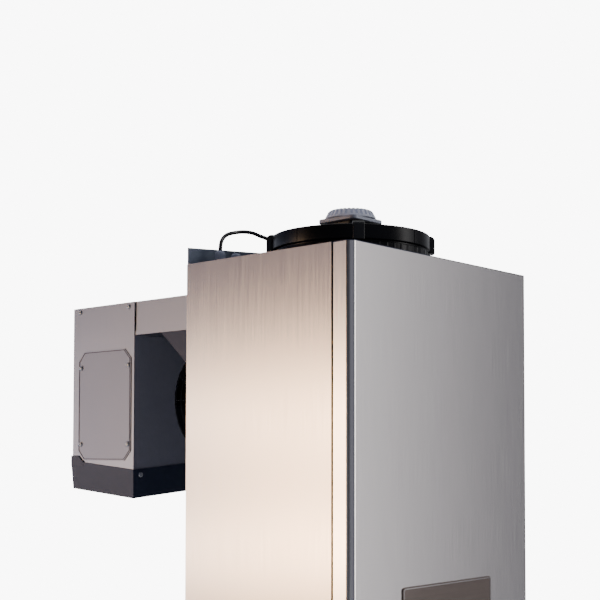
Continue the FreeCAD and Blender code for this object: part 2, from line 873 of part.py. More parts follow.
def make_guard(side, level):
    """Finger guard: rings bent from flat strip on eight thin spokes."""
    parts = []
    for step in range(SIZES["guard_rings"]):
        inner = "guard_in + %d * (guard_out - guard_wire - guard_in) / (guard_rings - 1)" % step
        outer = inner + " + guard_wire"
        outside = straight_sided(("0", "0", "-guard_wire"), outer, "guard_wire", "guard_sides")
        inside = straight_sided(("0", "0", "-guard_wire - 1"), inner, "guard_wire + 2", "guard_sides")
        parts.append(cut(outside, inside))
    for angle in (0, 45, 90, 135):
        parts.append(spoke_box("2 * guard_out", "guard_wire", "1", "-guard_out", "0", angle))
    hole = straight_sided(("0", "0", "-guard_wire - 1"), "shaft_r + 2", "guard_wire + 4", "screw_sides")
    guard = cut(join(*parts), hole)
    keep(seat_fan(guard, side, level), side + "_fan_guard")


def make_motor(side, leg):
    """Four arms with legs, the pedestal, the flange and the finned cap of a fan motor."""
    arms = []
    for angle in (45, 135):
        arms.append(spoke_box("2 * (ring_out + arm_foot)", "arm_w", "arm_skin",
                              "-ring_out - arm_foot", "ring_z", angle))
    for angle in (45, 135, 225, 315):
        arms.append(spoke_box("arm_foot - fit", "arm_w", leg, "ring_out + fit",
                              "ring_z + arm_skin - (%s)" % leg, angle))
    bore = straight_sided(("0", "0", "ring_z - 1"), "shaft_r + 1", "arm_skin + 2", "screw_sides")
    keep(seat_fan(cut(join(*arms), bore), side), side + "_motor_arms")
    pedestal = cut_square(side + "_pedestal", "pedestal_w", "pedestal_z", "pedestal_cut")
    hollow = rod(("0", "0", "-1"), "shaft_r + bearing_gap", "pedestal_z + 2")
    flange = cut_square(side + "_flange", "motor_flange_w", "motor_flange_z", "flange_cut")
    put(flange, "0", "0", "pedestal_z")
    keep(seat_fan(join(cut(pedestal, hollow), flange), side, "ring_z + arm_skin"), side + "_motor_base")
    crown = doc.addObject("Part::Feature", side + "_crown")
    crown.Shape = faceted([
        finned_ring("cap_low_r", "0", "0"), finned_ring("cap_low_r - 1", "cap_skirt", "0"),
        finned_ring("cap_low_r - 1", "cap_skirt + 0.1", "cap_fin_deep"),
        finned_ring("cap_top_r", "cap_z - cap_crown", "cap_fin_deep"),
        finned_ring("cap_top_r - 3", "cap_z", "cap_fin_deep")])
    keep(seat_fan(crown, side, "ring_z + arm_skin + pedestal_z + motor_flange_z"), side + "_motor_cap")


def finned_ring(radius, level, deep):
    """A closed outline about Z, drawn in by a depth between each two fins."""
    corners = []
    quarters = 4 * SIZES["cap_fins"]
    for step in range(quarters):
        inward = number(deep) if step % 4 > 1 else 0.0
        around = 2 * math.pi * step / quarters
        reach = number(radius) - inward
        corners.append(Vector(reach * math.cos(around), reach * math.sin(around), number(level)))
    return corners


def cut_square(name, width, height, corner):
    """A square slab with its corners cut off, centred on Z."""
    far = "(%s) / 2" % width
    near = "(%s / 2 - %s)" % (width, corner)
    outline = [(far, near), (near, far), ("-" + near, far), ("-" + far, near),
               ("-" + far, "-" + near), ("-" + near, "-" + far), (near, "-" + far), (far, "-" + near)]
    return prism(name, "XY_Plane", "0", outline, height)


def blade_corner(share, across, face):
    """A point of the blade: share of the way out, across the chord from -1 to 1, on one face."""
    def between(root, tip):
        return number(root) + share * (number(tip) - number(root))
    radius = between("fan_hub - hub_bite", "fan_tip")
    chord = between("blade_root", "blade_tip")
    lean = math.radians(between("blade_root_angle", "blade_tip_angle"))
    around = math.radians(number("blade_sweep")) * share + across * chord / 2 * math.cos(lean) / radius
    height = across * chord / 2 * math.sin(lean) + number("blade_camber") * (1 - across ** 2)
    height += face * number("blade_skin") / 2
    return Vector(radius * math.cos(around), radius * math.sin(around), height)


def blade():
    """One twisted, cambered and swept blade, as flat facets between three radii."""
    shares = (0.0, 0.5, 1.0)
    stations = (-1.0, -0.33, 0.33, 1.0)
    loops = []
    for share in shares:
        low = [blade_corner(share, across, -1) for across in stations]
        high = [blade_corner(share, across, 1) for across in reversed(stations)]
        loops.append(low + high)
    faces = []
    count = len(loops[0])
    for inner, outer in zip(loops, loops[1:]):
        for i in range(count):
            j = (i + 1) % count
            faces.append(flat_face([inner[i], inner[j], outer[j]]))
            faces.append(flat_face([inner[i], outer[j], outer[i]]))
    for loop in (loops[0], loops[-1]):
        for i in range(len(stations) - 1):
            a, b, c, d = loop[i], loop[i + 1], loop[count - 2 - i], loop[count - 1 - i]
            faces.append(flat_face([a, b, c]))
            faces.append(flat_face([a, c, d]))
    return closed(faces)


def make_impeller(side):
    """Rotor can with its shaft, and the blade wheel pressed on it."""
    half_len = number("rotor_len") / 2

    def drum(radius, low, high):
        up = Vector(0, 0, 1)
        return faceted([even_ring(up * level, up, radius, SIZES["wheel_sides"]) for level in (low, high)])

    hub = drum(number("fan_hub"), -half_len, half_len).cut(drum(number("rotor_r"), -half_len, half_len))
    blades = []
    for step in range(SIZES["blade_count"]):
        one = blade()
        one.rotate(Vector(), Vector(0, 0, 1), 360.0 * step / SIZES["blade_count"])
        blades.append(one)
    wheel = doc.addObject("Part::Feature", side + "_impeller")
    wheel.Shape = hub.multiFuse(blades)
    can = drum(number("rotor_r - bearing_gap"), -half_len - number("rotor_lip"), half_len)
    shaft = Part.makeCylinder(number("shaft_r"), number("ring_z + arm_skin + pedestal_z - wheel_level - 2"))
    rotor = doc.addObject("Part::Feature", side + "_rotor")
    rotor.Shape = can.fuse(shaft)
    keep(seat_fan(wheel, side, "wheel_level"), side + "_impeller")
    keep(seat_fan(rotor, side, "wheel_level"), side + "_rotor")


def make_glands():
    """Two cable glands on the deck, each with its lock nut below the sheet."""
    glands = []
    for name, x in (("fan_gland", "gland_x"), ("mains_gland", "gland_x + gland_pitch")):
        shell = stacked(name, [
            ("gland_r", "0"), ("gland_r", "gland_z * 0.55"), ("gland_r - 1", "gland_z * 0.6"),
            ("gland_r - 1", "gland_z * 0.82"), ("gland_bore + 2", "gland_z")], "stud_sides")
        put(shell, x, "gland_y", "top_z")
        below = "(deck_skin + gland_nut_z + gland_past)"
        thread = straight_sided((x, "gland_y", "top_z - " + below), "gland_thread", below + " + 1",
                                "screw_sides")
        bore = rod((x, "gland_y", "top_z - %s - 1" % below), "gland_bore", "gland_z + %s + 2" % below)
        glands.append(cut(join(shell, thread), bore))
    keep(group(*glands), "cable_glands")
    nuts = []
    for x in ("gland_x", "gland_x + gland_pitch"):
        nut = doc.addObject("Part::Prism", "lock_nut")
        nut.Polygon = 6
        bind(nut, "Circumradius", "gland_r + 2")
        bind(nut, "Height", "gland_nut_z")
        put(nut, x, "gland_y", "deck_low - gland_nut_z")
        hole = straight_sided((x, "gland_y", "deck_low - gland_nut_z - 1"), "gland_thread + fit / 2",
                              "gland_nut_z + 2", "screw_sides")
        nuts.append(cut(nut, hole))
    keep(group(*nuts), "gland_lock_nuts")


# The fan's lead, from its gland over to the outer end of the rear left motor arm.
FAN_CABLE = [(-217.0, -30.0, 474.0), (-217.0, -30.0, 490.7), (-207.7, -26.4, 505.6), (-191.3, -21.5, 516.3),
             (-170.0, -19.4, 523.0), (-149.5, -24.2, 527.2), (-134.4, -34.7, 526.0), (-124.1, -47.2, 518.5),
             (-115.2, -58.0, 513.5)]


def make_fan_cable():
    """Sweeps the lead: each arc is as large as the two runs beside it allow."""
    spots = [Vector(*spot) for spot in FAN_CABLE]
    radii = []
    for before, here, after in zip(spots, spots[1:], spots[2:]):
        turn = math.pi - (before - here).getAngle(after - here)
        run = min((before - here).Length, (after - here).Length)
        radii.append(0.45 * run / math.tan(turn / 2))
    print("fan cable radii", [round(radius) for radius in radii])
    cable = cord("fan_cable", FAN_CABLE, "cable_r", radii, "cable_sides")
    length = cable.Shape.Volume / section_area(number("cable_r"), SIZES["cable_sides"])
    print("fan cable length %.1f mm" % length)


def make_coil(node, x0, x1, y0, y1, low, high, face):
    """Fin pack with its slots cut in one face."""
    pack = block((x0, y0, low), (x1, y1, high))
    slots = []
    count = int(number("((%s) - (%s)) / fin_pitch" % (x1, x0)) + 0.5) - 1
    for step in range(count):
        left = "(%s) + fin_slot + %d * fin_pitch" % (x0, step)
        right = left + " + fin_slot"
        if face == "z":
            slots.append(block((left, "(%s) - 1" % y0, "(%s) - fin_deep" % high),
                               (right, "(%s) + 1" % y1, "(%s) + 1" % high)))
        else:
            slots.append(block((left, "(%s) - fin_deep" % y1, "(%s) - 1" % low),
                               (right, "(%s) + 1" % y1, "(%s) + 1" % high)))
    keep(cut(pack, *slots), node)


def return_bends(node, x, spots, flat):
    """Half-round tube bends on an end plate, each a solid of its own."""
    bends = []
    span = number("tube_pitch") / 2
    route = [Vector(0, -span, 0), Vector(span, -span, 0), Vector(span, span, 0), Vector(0, span, 0)]
    for y, z in spots:
        half = mitred(route, number("tube_r"), span * 0.9)
        if not flat:
            half.rotate(Vector(), Vector(1, 0, 0), 90)
        half.translate(point(x, y, z))
        bends.append(half)
    piece = doc.addObject("Part::Feature", node)
    piece.Shape = Part.makeCompound(bends)
    return keep(piece, node)


def make_condenser():
    """Condenser coil under the fan, on two rails between the side panels."""
    make_coil("condenser_fins", "cond_x0", "cond_x1", "coil_y0", "coil_y1", "coil_low", "coil_top", "z")
    left = block(("cond_x0 - end_skin", "coil_y0", "coil_low"), ("cond_x0", "coil_y1", "coil_top"))
    reach = "stub / 2 + 1"
    stubs = [laid_bar(("cond_stub_x", "cond_in_y", "coil_top - header_drop"), "discharge_r", reach, "x"),
             laid_bar(("cond_stub_x", "cond_out_y", "coil_low + header_drop"), "liquid_r", reach, "x")]
    right = block(("cond_x1", "coil_y0", "coil_low"), ("cond_x1 + end_skin", "coil_y1", "coil_top"))
    keep(group(join(left, *stubs), right), "condenser_end_plates")
    spots = []
    for step in range(5):
        spots.append(("coil_y0 + bend_start + %d * bend_gap" % step, "(coil_low + coil_top) / 2"))
    return_bends("condenser_return_bends", "cond_x1 + end_skin", spots, True)
    rails = []
    for y in ("coil_y0 + rail_in", "coil_y1 - rail_in - rail_w"):
        rails.append(block(("-inner_x", y, "coil_low - rail_z"), ("inner_x", "%s + rail_w" % y, "coil_low")))
    keep(group(*rails), "condenser_rails")


def laid_bar(start, radius, length, along, sides="pipe_sides"):
    """A flat-sided bar from its start, along one axis."""
    bar = straight_sided(start, radius, length, sides)
    put(bar, *start, turn=ALONG[along])
    return bar


def make_compressor():
    """Hermetic compressor: welded shell with stubs, foot plate, four grommets and their studs."""
    shell = stacked("compressor_shell", [
        ("comp_r - 30", "0"), ("comp_r", "34"), ("comp_r", "comp_z * 0.52"),
        ("comp_r + weld_out", "comp_z * 0.53"), ("comp_r + weld_out", "comp_z * 0.56"),
        ("comp_r - 1", "comp_z * 0.57"), ("comp_r - 1", "comp_z - 48"), ("comp_r - 12", "comp_z - 18"),
        ("comp_r - 38", "comp_z")], "shell_sides")
    put(shell, "comp_x", "comp_y", "shell_z")
    suction = laid_bar(("comp_x", "comp_y + comp_r - 8", "comp_in_z"), "suction_r", "stub + 8", "y")
    discharge = laid_bar(("comp_x - comp_r + 8", "comp_y", "comp_out_z"), "discharge_r", "stub + 8", "-x")
    keep(join(shell, suction, discharge), "compressor")
    foot = block(("comp_x - foot_x / 2", "comp_y - foot_y / 2", "foot_z"),
                 ("comp_x + foot_x / 2", "comp_y + foot_y / 2", "shell_z"))
    holes = []
    grommets = []
    studs = []
    for x in ("comp_x - foot_span_x / 2", "comp_x + foot_span_x / 2"):
        for y in ("comp_y - foot_span_y / 2", "comp_y + foot_span_y / 2"):
            holes.append(straight_sided((x, y, "foot_z - 1"), "stud_r + fit", "foot_skin + 2", "stud_sides"))
            rubber = straight_sided((x, y, "floor_z"), "grommet_r", "grommet_z", "screw_sides")
            hole = straight_sided((x, y, "floor_z - 1"), "stud_r + fit", "grommet_z + 2", "stud_sides")
            grommets.append(cut(rubber, hole))
            shank = straight_sided((x, y, "base_z"), "stud_r",
                                   "pan_skin + grommet_z + foot_skin + 1", "stud_sides")
            head = straight_sided((x, y, "shell_z"), "stud_r * 2", "6", "stud_sides")
            studs.append(join(shank, head))
    keep(cut(foot, *holes), "compressor_foot_plate")
    keep(group(*grommets), "compressor_grommets")
    keep(group(*studs), "compressor_bolts")
    cover = block(("comp_x - terminal_x / 2", "comp_y - comp_r - terminal_out", "terminal_low"),
                  ("comp_x + terminal_x / 2", "comp_y - comp_r + 12", "terminal_low + terminal_z"))
    keep(cut(cover, rod(("comp_x", "comp_y", "base_z"), "comp_r + fit", "housing_h")),
         "compressor_terminal_cover")


def make_pipes():
    """Copper lines: discharge, liquid and suction, with the filter drier and the expansion valve."""
    riser_low = "coil_low - riser_drop"
    pipe("discharge_line", [
        ("comp_x - comp_r - stub", "comp_y", "comp_out_z"), ("riser_x", "comp_y", "comp_out_z"),
        ("riser_x", "comp_y", riser_low), ("riser_x", "cond_in_y", riser_low),
        ("riser_x", "cond_in_y", "coil_top - header_drop"),
        ("cond_stub_x", "cond_in_y", "coil_top - header_drop")], "discharge_r", number("pipe_bend"))
    turn = "drier_low - 34"
    pipe("liquid_line", [
        ("cond_stub_x", "cond_out_y", "coil_low + header_drop"),
        ("liquid_x", "cond_out_y", "coil_low + header_drop"),
        ("liquid_x", "cond_out_y", turn), ("liquid_x", "drier_y", turn), ("drier_x", "drier_y", turn),
        ("drier_x", "drier_y", "drier_low - 10")], "liquid_r", number("pipe_bend"))
    drier = stacked("drier_body", [
        ("liquid_r + 1", "-10"), ("liquid_r + 1", "0"), ("drier_r", "12"), ("drier_r", "drier_z - 12"),
        ("liquid_r + 1", "drier_z"), ("liquid_r + 1", "drier_z + 10")], "screw_sides")
    put(drier, "drier_x", "drier_y", "drier_low")
    keep(drier, "filter_drier")
    feed_x = "ev_stub_x - 5"
    feed_y = "ev_y0 + feed_turn"
    pipe("liquid_feed_line", [
        ("drier_x", "drier_y", "drier_low + drier_z + 10"), ("drier_x", "drier_y", "pipe_z"),
        ("drier_x", feed_y, "pipe_z"), (feed_x, feed_y, "pipe_z"), (feed_x, "valve_y", "pipe_z"),
        (feed_x, "valve_y", "evcoil_top - valve_drop")], "liquid_r", number("pipe_bend - 2"))
    valve = block(("ev_stub_x - valve_x", "valve_y - valve_half", "evcoil_top - valve_drop - valve_z"),
                  ("ev_stub_x", "valve_y + valve_half", "evcoil_top - valve_drop"))
    keep(valve, "expansion_valve")
    drop_y = "-suction_r * 2"
    pipe("suction_line", [
        ("ev_stub_x", "suction_y", "suction_z"), ("suction_x", "suction_y", "suction_z"),
        ("suction_x", "suction_y", "pipe_z"), ("suction_x", drop_y, "pipe_z"),
        ("suction_x", drop_y, "comp_in_z"), ("comp_x", drop_y, "comp_in_z"),
        ("comp_x", "comp_y + comp_r + stub", "comp_in_z")], "suction_r", number("pipe_bend"))


def make_electrics():
    """Electrical box on the right side panel, its lid and what it holds."""
    x0, x1 = "inner_x - ebox_x", "inner_x"
    y0, y1 = "front_y + ebox_front", "front_y + ebox_front + ebox_y"
    z0, z1 = "ebox_low", "ebox_low + ebox_z"
    shell = block((x0, y0, z0), (x1, y1, z1))
    room = block((x0 + " + ebox_skin", y0 + " - 1", z0 + " + ebox_skin"),
                 (x1 + " - ebox_skin", y1 + " - ebox_skin", z1 + " - ebox_skin"))
    keep(cut(shell, room), "electrical_box")
    keep(block((x0, y0 + " - ebox_skin", z0), (x1, y0, z1)), "electrical_box_lid")
    back = y1 + " - ebox_skin"
    near, low = x0 + " + contactor_in", z0 + " + contactor_in"
    keep(block((near, back + " - contactor_deep", low),
               (near + " + contactor_w", back, low + " + contactor_z")), "contactor")
    keep(laid_bar((x0 + " + capacitor_in", back, z0 + " + capacitor_up"), "capacitor_r", "capacitor_len",
                  "-y", "screw_sides"), "run_capacitor")
    high = z1 + " - controller_drop"
    keep(block((near, back + " - controller_deep", high + " - controller_z"),
               (x1 + " - contactor_in", back, high)), "controller")


def make_evaporator_case():
    """Evaporator box: two sides, top, fan plate with its bell mouth and the outlet grille."""
    rim_near = "rim_z - tray_lap"
    rim_far = "rim_z - tray_lap + tray_fall_y * ev_d"
    rise = "tray_fall_x * ev_w"
    left = prism("evaporator_left_skin", "YZ_Plane", "-ev_half",
                 [("ev_y0", rim_near), ("ev_y1", rim_far), ("ev_y1", "ev_top"), ("ev_y0", "ev_top")], "skin")
    window = sketch_on(left, "access_window", "YZ_Plane", "-ev_half")
    draw(window, rectangle("access_y + access_frame", "access_low + access_frame",
                           "access_y + access_w - access_frame", "access_low + access_h - access_frame"))
    pocket(left, window)
    holes = sketch_on(left, "access_screw_holes", "YZ_Plane", "-ev_half")
    for y in ("access_y + access_screw_y", "access_y + access_w - access_screw_y"):
        for z in ("access_low + access_screw_z", "access_low + access_h - access_screw_z"):
            draw(holes, even_sides(y, z, "screw_hole"))
    pocket(left, holes)
    keep(left, "evaporator_left_panel")
    right = prism("evaporator_right_skin", "YZ_Plane", "ev_inner",
                  [("ev_y0", rim_near + " + " + rise), ("ev_y1", rim_far + " + " + rise),
                   ("ev_y1", "ev_top"), ("ev_y0", "ev_top")], "skin")
    keep(right, "evaporator_right_panel")
    top = block(("-ev_inner", "ev_y0", "ev_top - skin"), ("ev_inner", "ev_y1", "ev_top"))
    near, far, low = "ev_y0 + fold_in", "ev_y1 - fold_in", "ev_top - fold_z"
    folds = [block(("-ev_inner", near, low), ("-ev_inner + skin", far, "ev_top")),
             block(("ev_inner - skin", near, low), ("ev_inner", far, "ev_top"))]
    keep(join(top, *folds), "evaporator_top_cover")
    plate = new_body("fan_plate_body")
    outline = sketch_on(plate, "fan_plate_outline", "XZ_Plane", "-ev_y0 - skin")
    draw(outline, [("-ev_inner", rim_near), ("ev_inner", rim_near + " + " + rise),
                   ("ev_inner", "duct_low"), ("-ev_inner", "duct_low")])
    pad(plate, outline, "skin")
    orifice = sketch_on(plate, "orifice", "XZ_Plane", "-ev_y0 - skin")
    draw_circle(orifice, "0", "ev_fan_z", "orifice_r")
    pocket(plate, orifice)
    bell = encircled("bell_mouth", [("orifice_r + 1", "0"), ("orifice_r - bell_r * 0.5", "bell_r * 0.35"),
                                   ("orifice_r - bell_r", "bell_r"), ("orifice_r - bell_r", "bell_len"),
                                   ("orifice_r - bell_r + skin", "bell_len"),
                                   ("orifice_r - bell_r + skin", "bell_r + skin"), ("orifice_r + 1", "skin")],
                     "ring_sides")
    seat_fan(bell, "evaporator")
    keep(join(plate, bell), "evaporator_fan_plate")
    grille = new_body("outlet_body")
    face = sketch_on(grille, "outlet_outline", "XZ_Plane", "-ev_y1")
    draw(face, [("-ev_inner", rim_far), ("ev_inner", rim_far + " + " + rise),
                ("ev_inner", "ev_top - skin"), ("-ev_inner", "ev_top - skin")])
    pad(grille, face, "skin")
    slots = []
    for column in ("-outlet_w - outlet_rib / 2", "outlet_rib / 2"):
        for row in range(SIZES["outlet_rows"]):
            low = "evcoil_low + %d * outlet_pitch" % row
            slots.append(block((column, "ev_y1 - skin - 1", low),
                               (column + " + outlet_w", "ev_y1 + 1", low + " + outlet_slot")))
    keep(cut(grille, *slots), "evaporator_outlet_grille")


def make_access_plate():
    """Access plate with cut corners, and its four pan-head screws."""
    y0, y1 = "access_y", "access_y + access_w"
    z0, z1 = "access_low", "access_low + access_h"
    body = prism("access_plate_body", "YZ_Plane", "-ev_half - access_skin",
                 [(y0 + " + access_cut", z0), (y1 + " - access_cut", z0), (y1, z0 + " + access_cut"),
                  (y1, z1 + " - access_cut"), (y1 + " - access_cut", z1), (y0 + " + access_cut", z1),
                  (y0, z1 + " - access_cut"), (y0, z0 + " + access_cut")], "access_skin")
    holes = sketch_on(body, "plate_screw_holes", "YZ_Plane", "-ev_half - access_skin")
    screws = []
    for y in (y0 + " + access_screw_y", y1 + " - access_screw_y"):
        for z in (z0 + " + access_screw_z", z1 + " - access_screw_z"):
            draw(holes, even_sides(y, z, "screw_hole"))
            head = laid_bar(("-ev_half - access_skin", y, z), "screw_r", "screw_head", "-x", "screw_sides")
            shank = laid_bar(("-ev_half - access_skin - 0.5", y, z), "screw_shank",
                             "access_skin + skin + screw_past", "x")
            screws.append(join(head, shank))
    pocket(body, holes)
    keep(body, "access_plate")
    keep(group(*screws), "access_plate_screws")


def make_duct():
    """Shallow duct through the wall, its foam filling and the two gussets under it."""
    rear = "-plate_skin"
    outer = block(("-duct_half", rear, "duct_low + skin"), ("duct_half", "ev_y0", "ev_top"))
    room = block(("-duct_half + skin", rear + " - 1", "duct_low"),
                 ("duct_half - skin", "ev_y0 + 1", "ev_top - skin"))
    keep(cut(outer, room), "duct_cover")
    floor = block(("-duct_half - skin", rear, "duct_low"),
                  ("duct_half + skin", "ev_y0", "duct_low + skin"))
    hem_top = "duct_low + duct_hem"
    hems = [block(("-duct_half - skin", rear, "duct_low"), ("-duct_half", "ev_y0", hem_top)),
            block(("duct_half", rear, "duct_low"), ("duct_half + skin", "ev_y0", hem_top))]
    keep(join(floor, *hems), "duct_floor")
    foam = block(("-duct_half + skin + fit", "0", "duct_low + skin"),
                 ("duct_half - skin - fit", "ev_y0 - 1", "ev_top - skin - fit"))
    ways = []
    for x, radius in (("suction_x", "suction_r"), ("drier_x", "liquid_r")):
        around = "(%s + fit) / cos(180 / screw_sides)" % radius
        ways.append(laid_bar((x, "-1", "pipe_z"), around, "ev_y0 + 2", "y", "screw_sides"))
    keep(cut(foam, *ways), "duct_insulation")
    gussets = []
    for x, flange_x in (("-duct_half", "-duct_half"), ("duct_half - gusset_skin", "duct_half - gusset_edge")):
        web = prism("gusset_web", "YZ_Plane", x, [
            (rear, "duct_low"), (rear, "duct_low - gusset_z"), ("gusset_y", "duct_low")], "gusset_skin")
        edge = prism("gusset_edge", "YZ_Plane", flange_x, [
            (rear, "duct_low - gusset_z"), ("gusset_y", "duct_low"),
            ("gusset_y - gusset_skin * 1.6", "duct_low"),
            (rear, "duct_low - gusset_z + gusset_skin * 1.4")], "gusset_edge")
        gussets.append(join(web, edge))
    keep(group(*gussets), "duct_gussets")


def tray_corners(height, inset):
    """The tray's four corners at a height above its falling floor, drawn in by an inset."""
    low_x = number("-ev_half - tray_out")
    high_x = number("ev_half + tray_out")
    low_y = number("ev_y0 - tray_out")
    high_y = number("ev_y1 + tray_out")
    corners = []
    for x, y in ((low_x + inset, low_y + inset), (high_x - inset, low_y + inset),
                 (high_x - inset, high_y - inset), (low_x + inset, high_y - inset)):
        rise = number("tray_fall_x") * (x - low_x) + number("tray_fall_y") * (y - low_y)
        corners.append(Vector(x, y, number("tray_low") + height + rise))
    return Part.makePolygon(corners + [corners[0]])


def make_drip_tray():
    """Drip tray: drafted walls, a floor that falls to one corner, and a spigot under its low side."""
    deep = number("tray_z")
    draft = number("tray_draft")
    skin = number("tray_skin")
    outer = Part.makeLoft([tray_corners(0, draft), tray_corners(deep, 0)], True, True)
    rim = draft * (deep - skin) / deep
    inner = Part.makeLoft([tray_corners(skin, rim + skin), tray_corners(deep + 1, skin - draft / deep)],
                          True, True)
    start = point("drain_x", "drain_y", "drain_seat - drain_len")
    up = Vector(0, 0, 1)
    sunk = number("drain_lip + tray_skin")
    spigot = Part.makeCylinder(number("drain_r"), number("drain_len") + sunk, start, up)
    collar = Part.makeCylinder(number("drain_collar"), sunk, start + up * number("drain_len"), up)
    bore = Part.makeCylinder(number("drain_bore"), number("drain_len + tray_z / 2"), start - up, up)
    tray = doc.addObject("Part::Feature", "drip_tray")
    tray.Shape = outer.cut(inner).fuse(spigot.fuse(collar).cut(outer)).cut(bore)
    keep(tray, "drip_tray")


def make_evaporator_coil():
    """Evaporator coil hung from the top cover, its bends, the defrost heater and the sensor."""
    make_coil("evaporator_fins", "-evcoil_half", "evcoil_half", "evcoil_y0", "evcoil_y1",
              "evcoil_low", "evcoil_top", "y")
    left = block(("-evcoil_half - end_skin", "evcoil_y0", "evcoil_low"),
                 ("-evcoil_half", "evcoil_y1", "ev_top - skin"))
    stubs = [laid_bar(("ev_stub_x", "suction_y", "suction_z"), "suction_r", "6.5", "x"),
             laid_bar(("ev_stub_x", "valve_y", "evcoil_top - port_in"), "liquid_r", "6.5", "x")]
    right = block(("evcoil_half", "evcoil_y0", "evcoil_low"),
                  ("evcoil_half + end_skin", "evcoil_y1", "ev_top - skin"))
    keep(group(join(left, *stubs), right), "evaporator_end_plates")
    spots = []
    for step in range(3):
        spots.append(("(evcoil_y0 + evcoil_y1) / 2", "evcoil_low + evbend_start + %d * evbend_gap" % step))
    return_bends("evaporator_return_bends", "evcoil_half + end_skin", spots, False)
    heater_y = "evcoil_y0 - heater_r - fit"
    rows = ["evcoil_low + 14 + %d * heater_pitch" % step for step in range(4)]
    route = []
    for step, z in enumerate(rows):
        ends = ("-evcoil_half + 20", "evcoil_half - 20")
        start, end = ends if step % 2 == 0 else ends[::-1]
        route += [(start, heater_y, z), (end, heater_y, z)]
    pipe("defrost_heater", route, "heater_r", number("heater_pitch / 2 - 1"))
    keep(laid_bar(("sensor_x", "evcoil_y0 - liquid_r - fit", "evcoil_top - sensor_drop"), "liquid_r",
                  "sensor_len", "x", "screw_sides"), "coil_sensor")


def write_parts():
    """Checks every object and writes each sub-part to its own file."""
    doc.removeObject(scratch.Name)
    doc.recompute()
    faults = [item.Label for item in doc.Objects if "Invalid" in item.State or "Error" in item.State]
    for node, thing in nodes.items():
        if thing.Shape.isNull() or not thing.Shape.isValid() or not thing.Shape.Solids:
            faults.append(node)
    if faults:
        raise RuntimeError("failed: " + ", ".join(faults))
    os.makedirs("parts", exist_ok=True)
    for node, thing in nodes.items():
        thing.Shape.exportStep("parts/%s.step" % node)
        print("%-30s %2d solids  %10.1f mm3" % (node, len(thing.Shape.Solids), thing.Shape.Volume))


make_wall_plate()
make_base_pan()
make_side_panel("left_side_panel", -1)
make_side_panel("right_side_panel", 1)
make_front_cover()
make_top_deck()
make_name_plate()
make_fan_ring()
make_guard("condenser", "ring_z - 1")
make_guard("evaporator", "bell_r + 2")
make_motor("condenser", "arm_leg")
make_motor("evaporator", "ring_z + arm_skin - skin")
make_impeller("condenser")
make_impeller("evaporator")
make_glands()
make_fan_cable()
make_condenser()
make_compressor()
make_pipes()
make_electrics()
make_evaporator_case()
make_access_plate()
make_duct()
make_drip_tray()
make_evaporator_coil()
write_parts()
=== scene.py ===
import json
import math

import bmesh
import bpy
import numpy as np
from mathutils import Matrix, Vector


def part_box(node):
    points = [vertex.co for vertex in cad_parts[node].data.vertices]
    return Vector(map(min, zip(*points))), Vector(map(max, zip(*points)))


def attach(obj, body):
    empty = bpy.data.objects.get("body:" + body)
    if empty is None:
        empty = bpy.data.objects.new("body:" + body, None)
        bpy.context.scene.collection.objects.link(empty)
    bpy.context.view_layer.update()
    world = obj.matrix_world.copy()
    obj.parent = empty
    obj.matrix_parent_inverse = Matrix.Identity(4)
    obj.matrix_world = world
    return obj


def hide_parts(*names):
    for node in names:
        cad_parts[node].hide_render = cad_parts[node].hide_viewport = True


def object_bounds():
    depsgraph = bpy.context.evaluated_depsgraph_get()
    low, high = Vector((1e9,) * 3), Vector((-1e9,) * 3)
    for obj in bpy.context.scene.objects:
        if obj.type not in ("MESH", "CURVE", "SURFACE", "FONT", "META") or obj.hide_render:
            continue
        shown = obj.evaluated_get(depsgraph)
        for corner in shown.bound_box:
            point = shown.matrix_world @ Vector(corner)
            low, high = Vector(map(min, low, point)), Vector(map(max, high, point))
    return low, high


# Looks of a wall-mounted monoblock refrigeration unit, dressed over its solids. All lengths in metres.
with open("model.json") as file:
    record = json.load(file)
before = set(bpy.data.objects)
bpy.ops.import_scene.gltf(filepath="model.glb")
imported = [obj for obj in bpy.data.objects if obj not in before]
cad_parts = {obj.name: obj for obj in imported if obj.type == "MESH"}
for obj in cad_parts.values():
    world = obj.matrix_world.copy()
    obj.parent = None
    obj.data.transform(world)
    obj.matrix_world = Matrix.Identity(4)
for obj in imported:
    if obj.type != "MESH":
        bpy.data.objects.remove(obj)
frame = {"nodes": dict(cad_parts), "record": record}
nodes = frame["nodes"]
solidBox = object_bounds()
print("frame loaded:", len(nodes), "sub-parts")


# camera, from the straight edges of the housing in the picture

camera = {
    "place": (-1.7558, -1.6319, 0.0958),
    "turn": 47.797,  # degrees from +Y towards +X
    "tilt": 2.238,  # degrees upwards
    "roll": 0.10,
    "lens": 69.99,
    "shiftY": 0.1777,
}


def makeCamera():
    data = bpy.data.cameras.new("camera")
    data.lens = camera["lens"]
    data.shift_y = camera["shiftY"]
    holder = bpy.data.objects.new("camera", data)
    bpy.context.scene.collection.objects.link(holder)
    turn = Matrix.Rotation(math.radians(-camera["turn"]), 4, "Z")
    tilt = Matrix.Rotation(math.radians(90 + camera["tilt"]), 4, "X")
    roll = Matrix.Rotation(math.radians(camera["roll"]), 4, "Z")
    holder.matrix_world = Matrix.Translation(camera["place"]) @ turn @ tilt @ roll
    bpy.context.scene.camera = holder


makeCamera()
print("camera placed")


# materials

def linear(code):  # sRGB hex to the linear colour that a shader takes
    parts = [int(code[i:i + 2], 16) / 255 for i in (1, 3, 5)]
    return [p / 12.92 if p <= 0.04045 else ((p + 0.055) / 1.055) ** 2.4 for p in parts] + [1.0]


def addNode(tree, kind, settings=(), links=()):  # words in lower case are attributes, the rest are sockets
    node = tree.nodes.new(kind)
    for key, value in dict(settings).items():
        if isinstance(key, str) and key[0].islower():
            setattr(node, key, value)
        else:
            node.inputs[key].default_value = value
    for key, source in dict(links).items():
        tree.links.new(source, node.inputs[key])
    return node


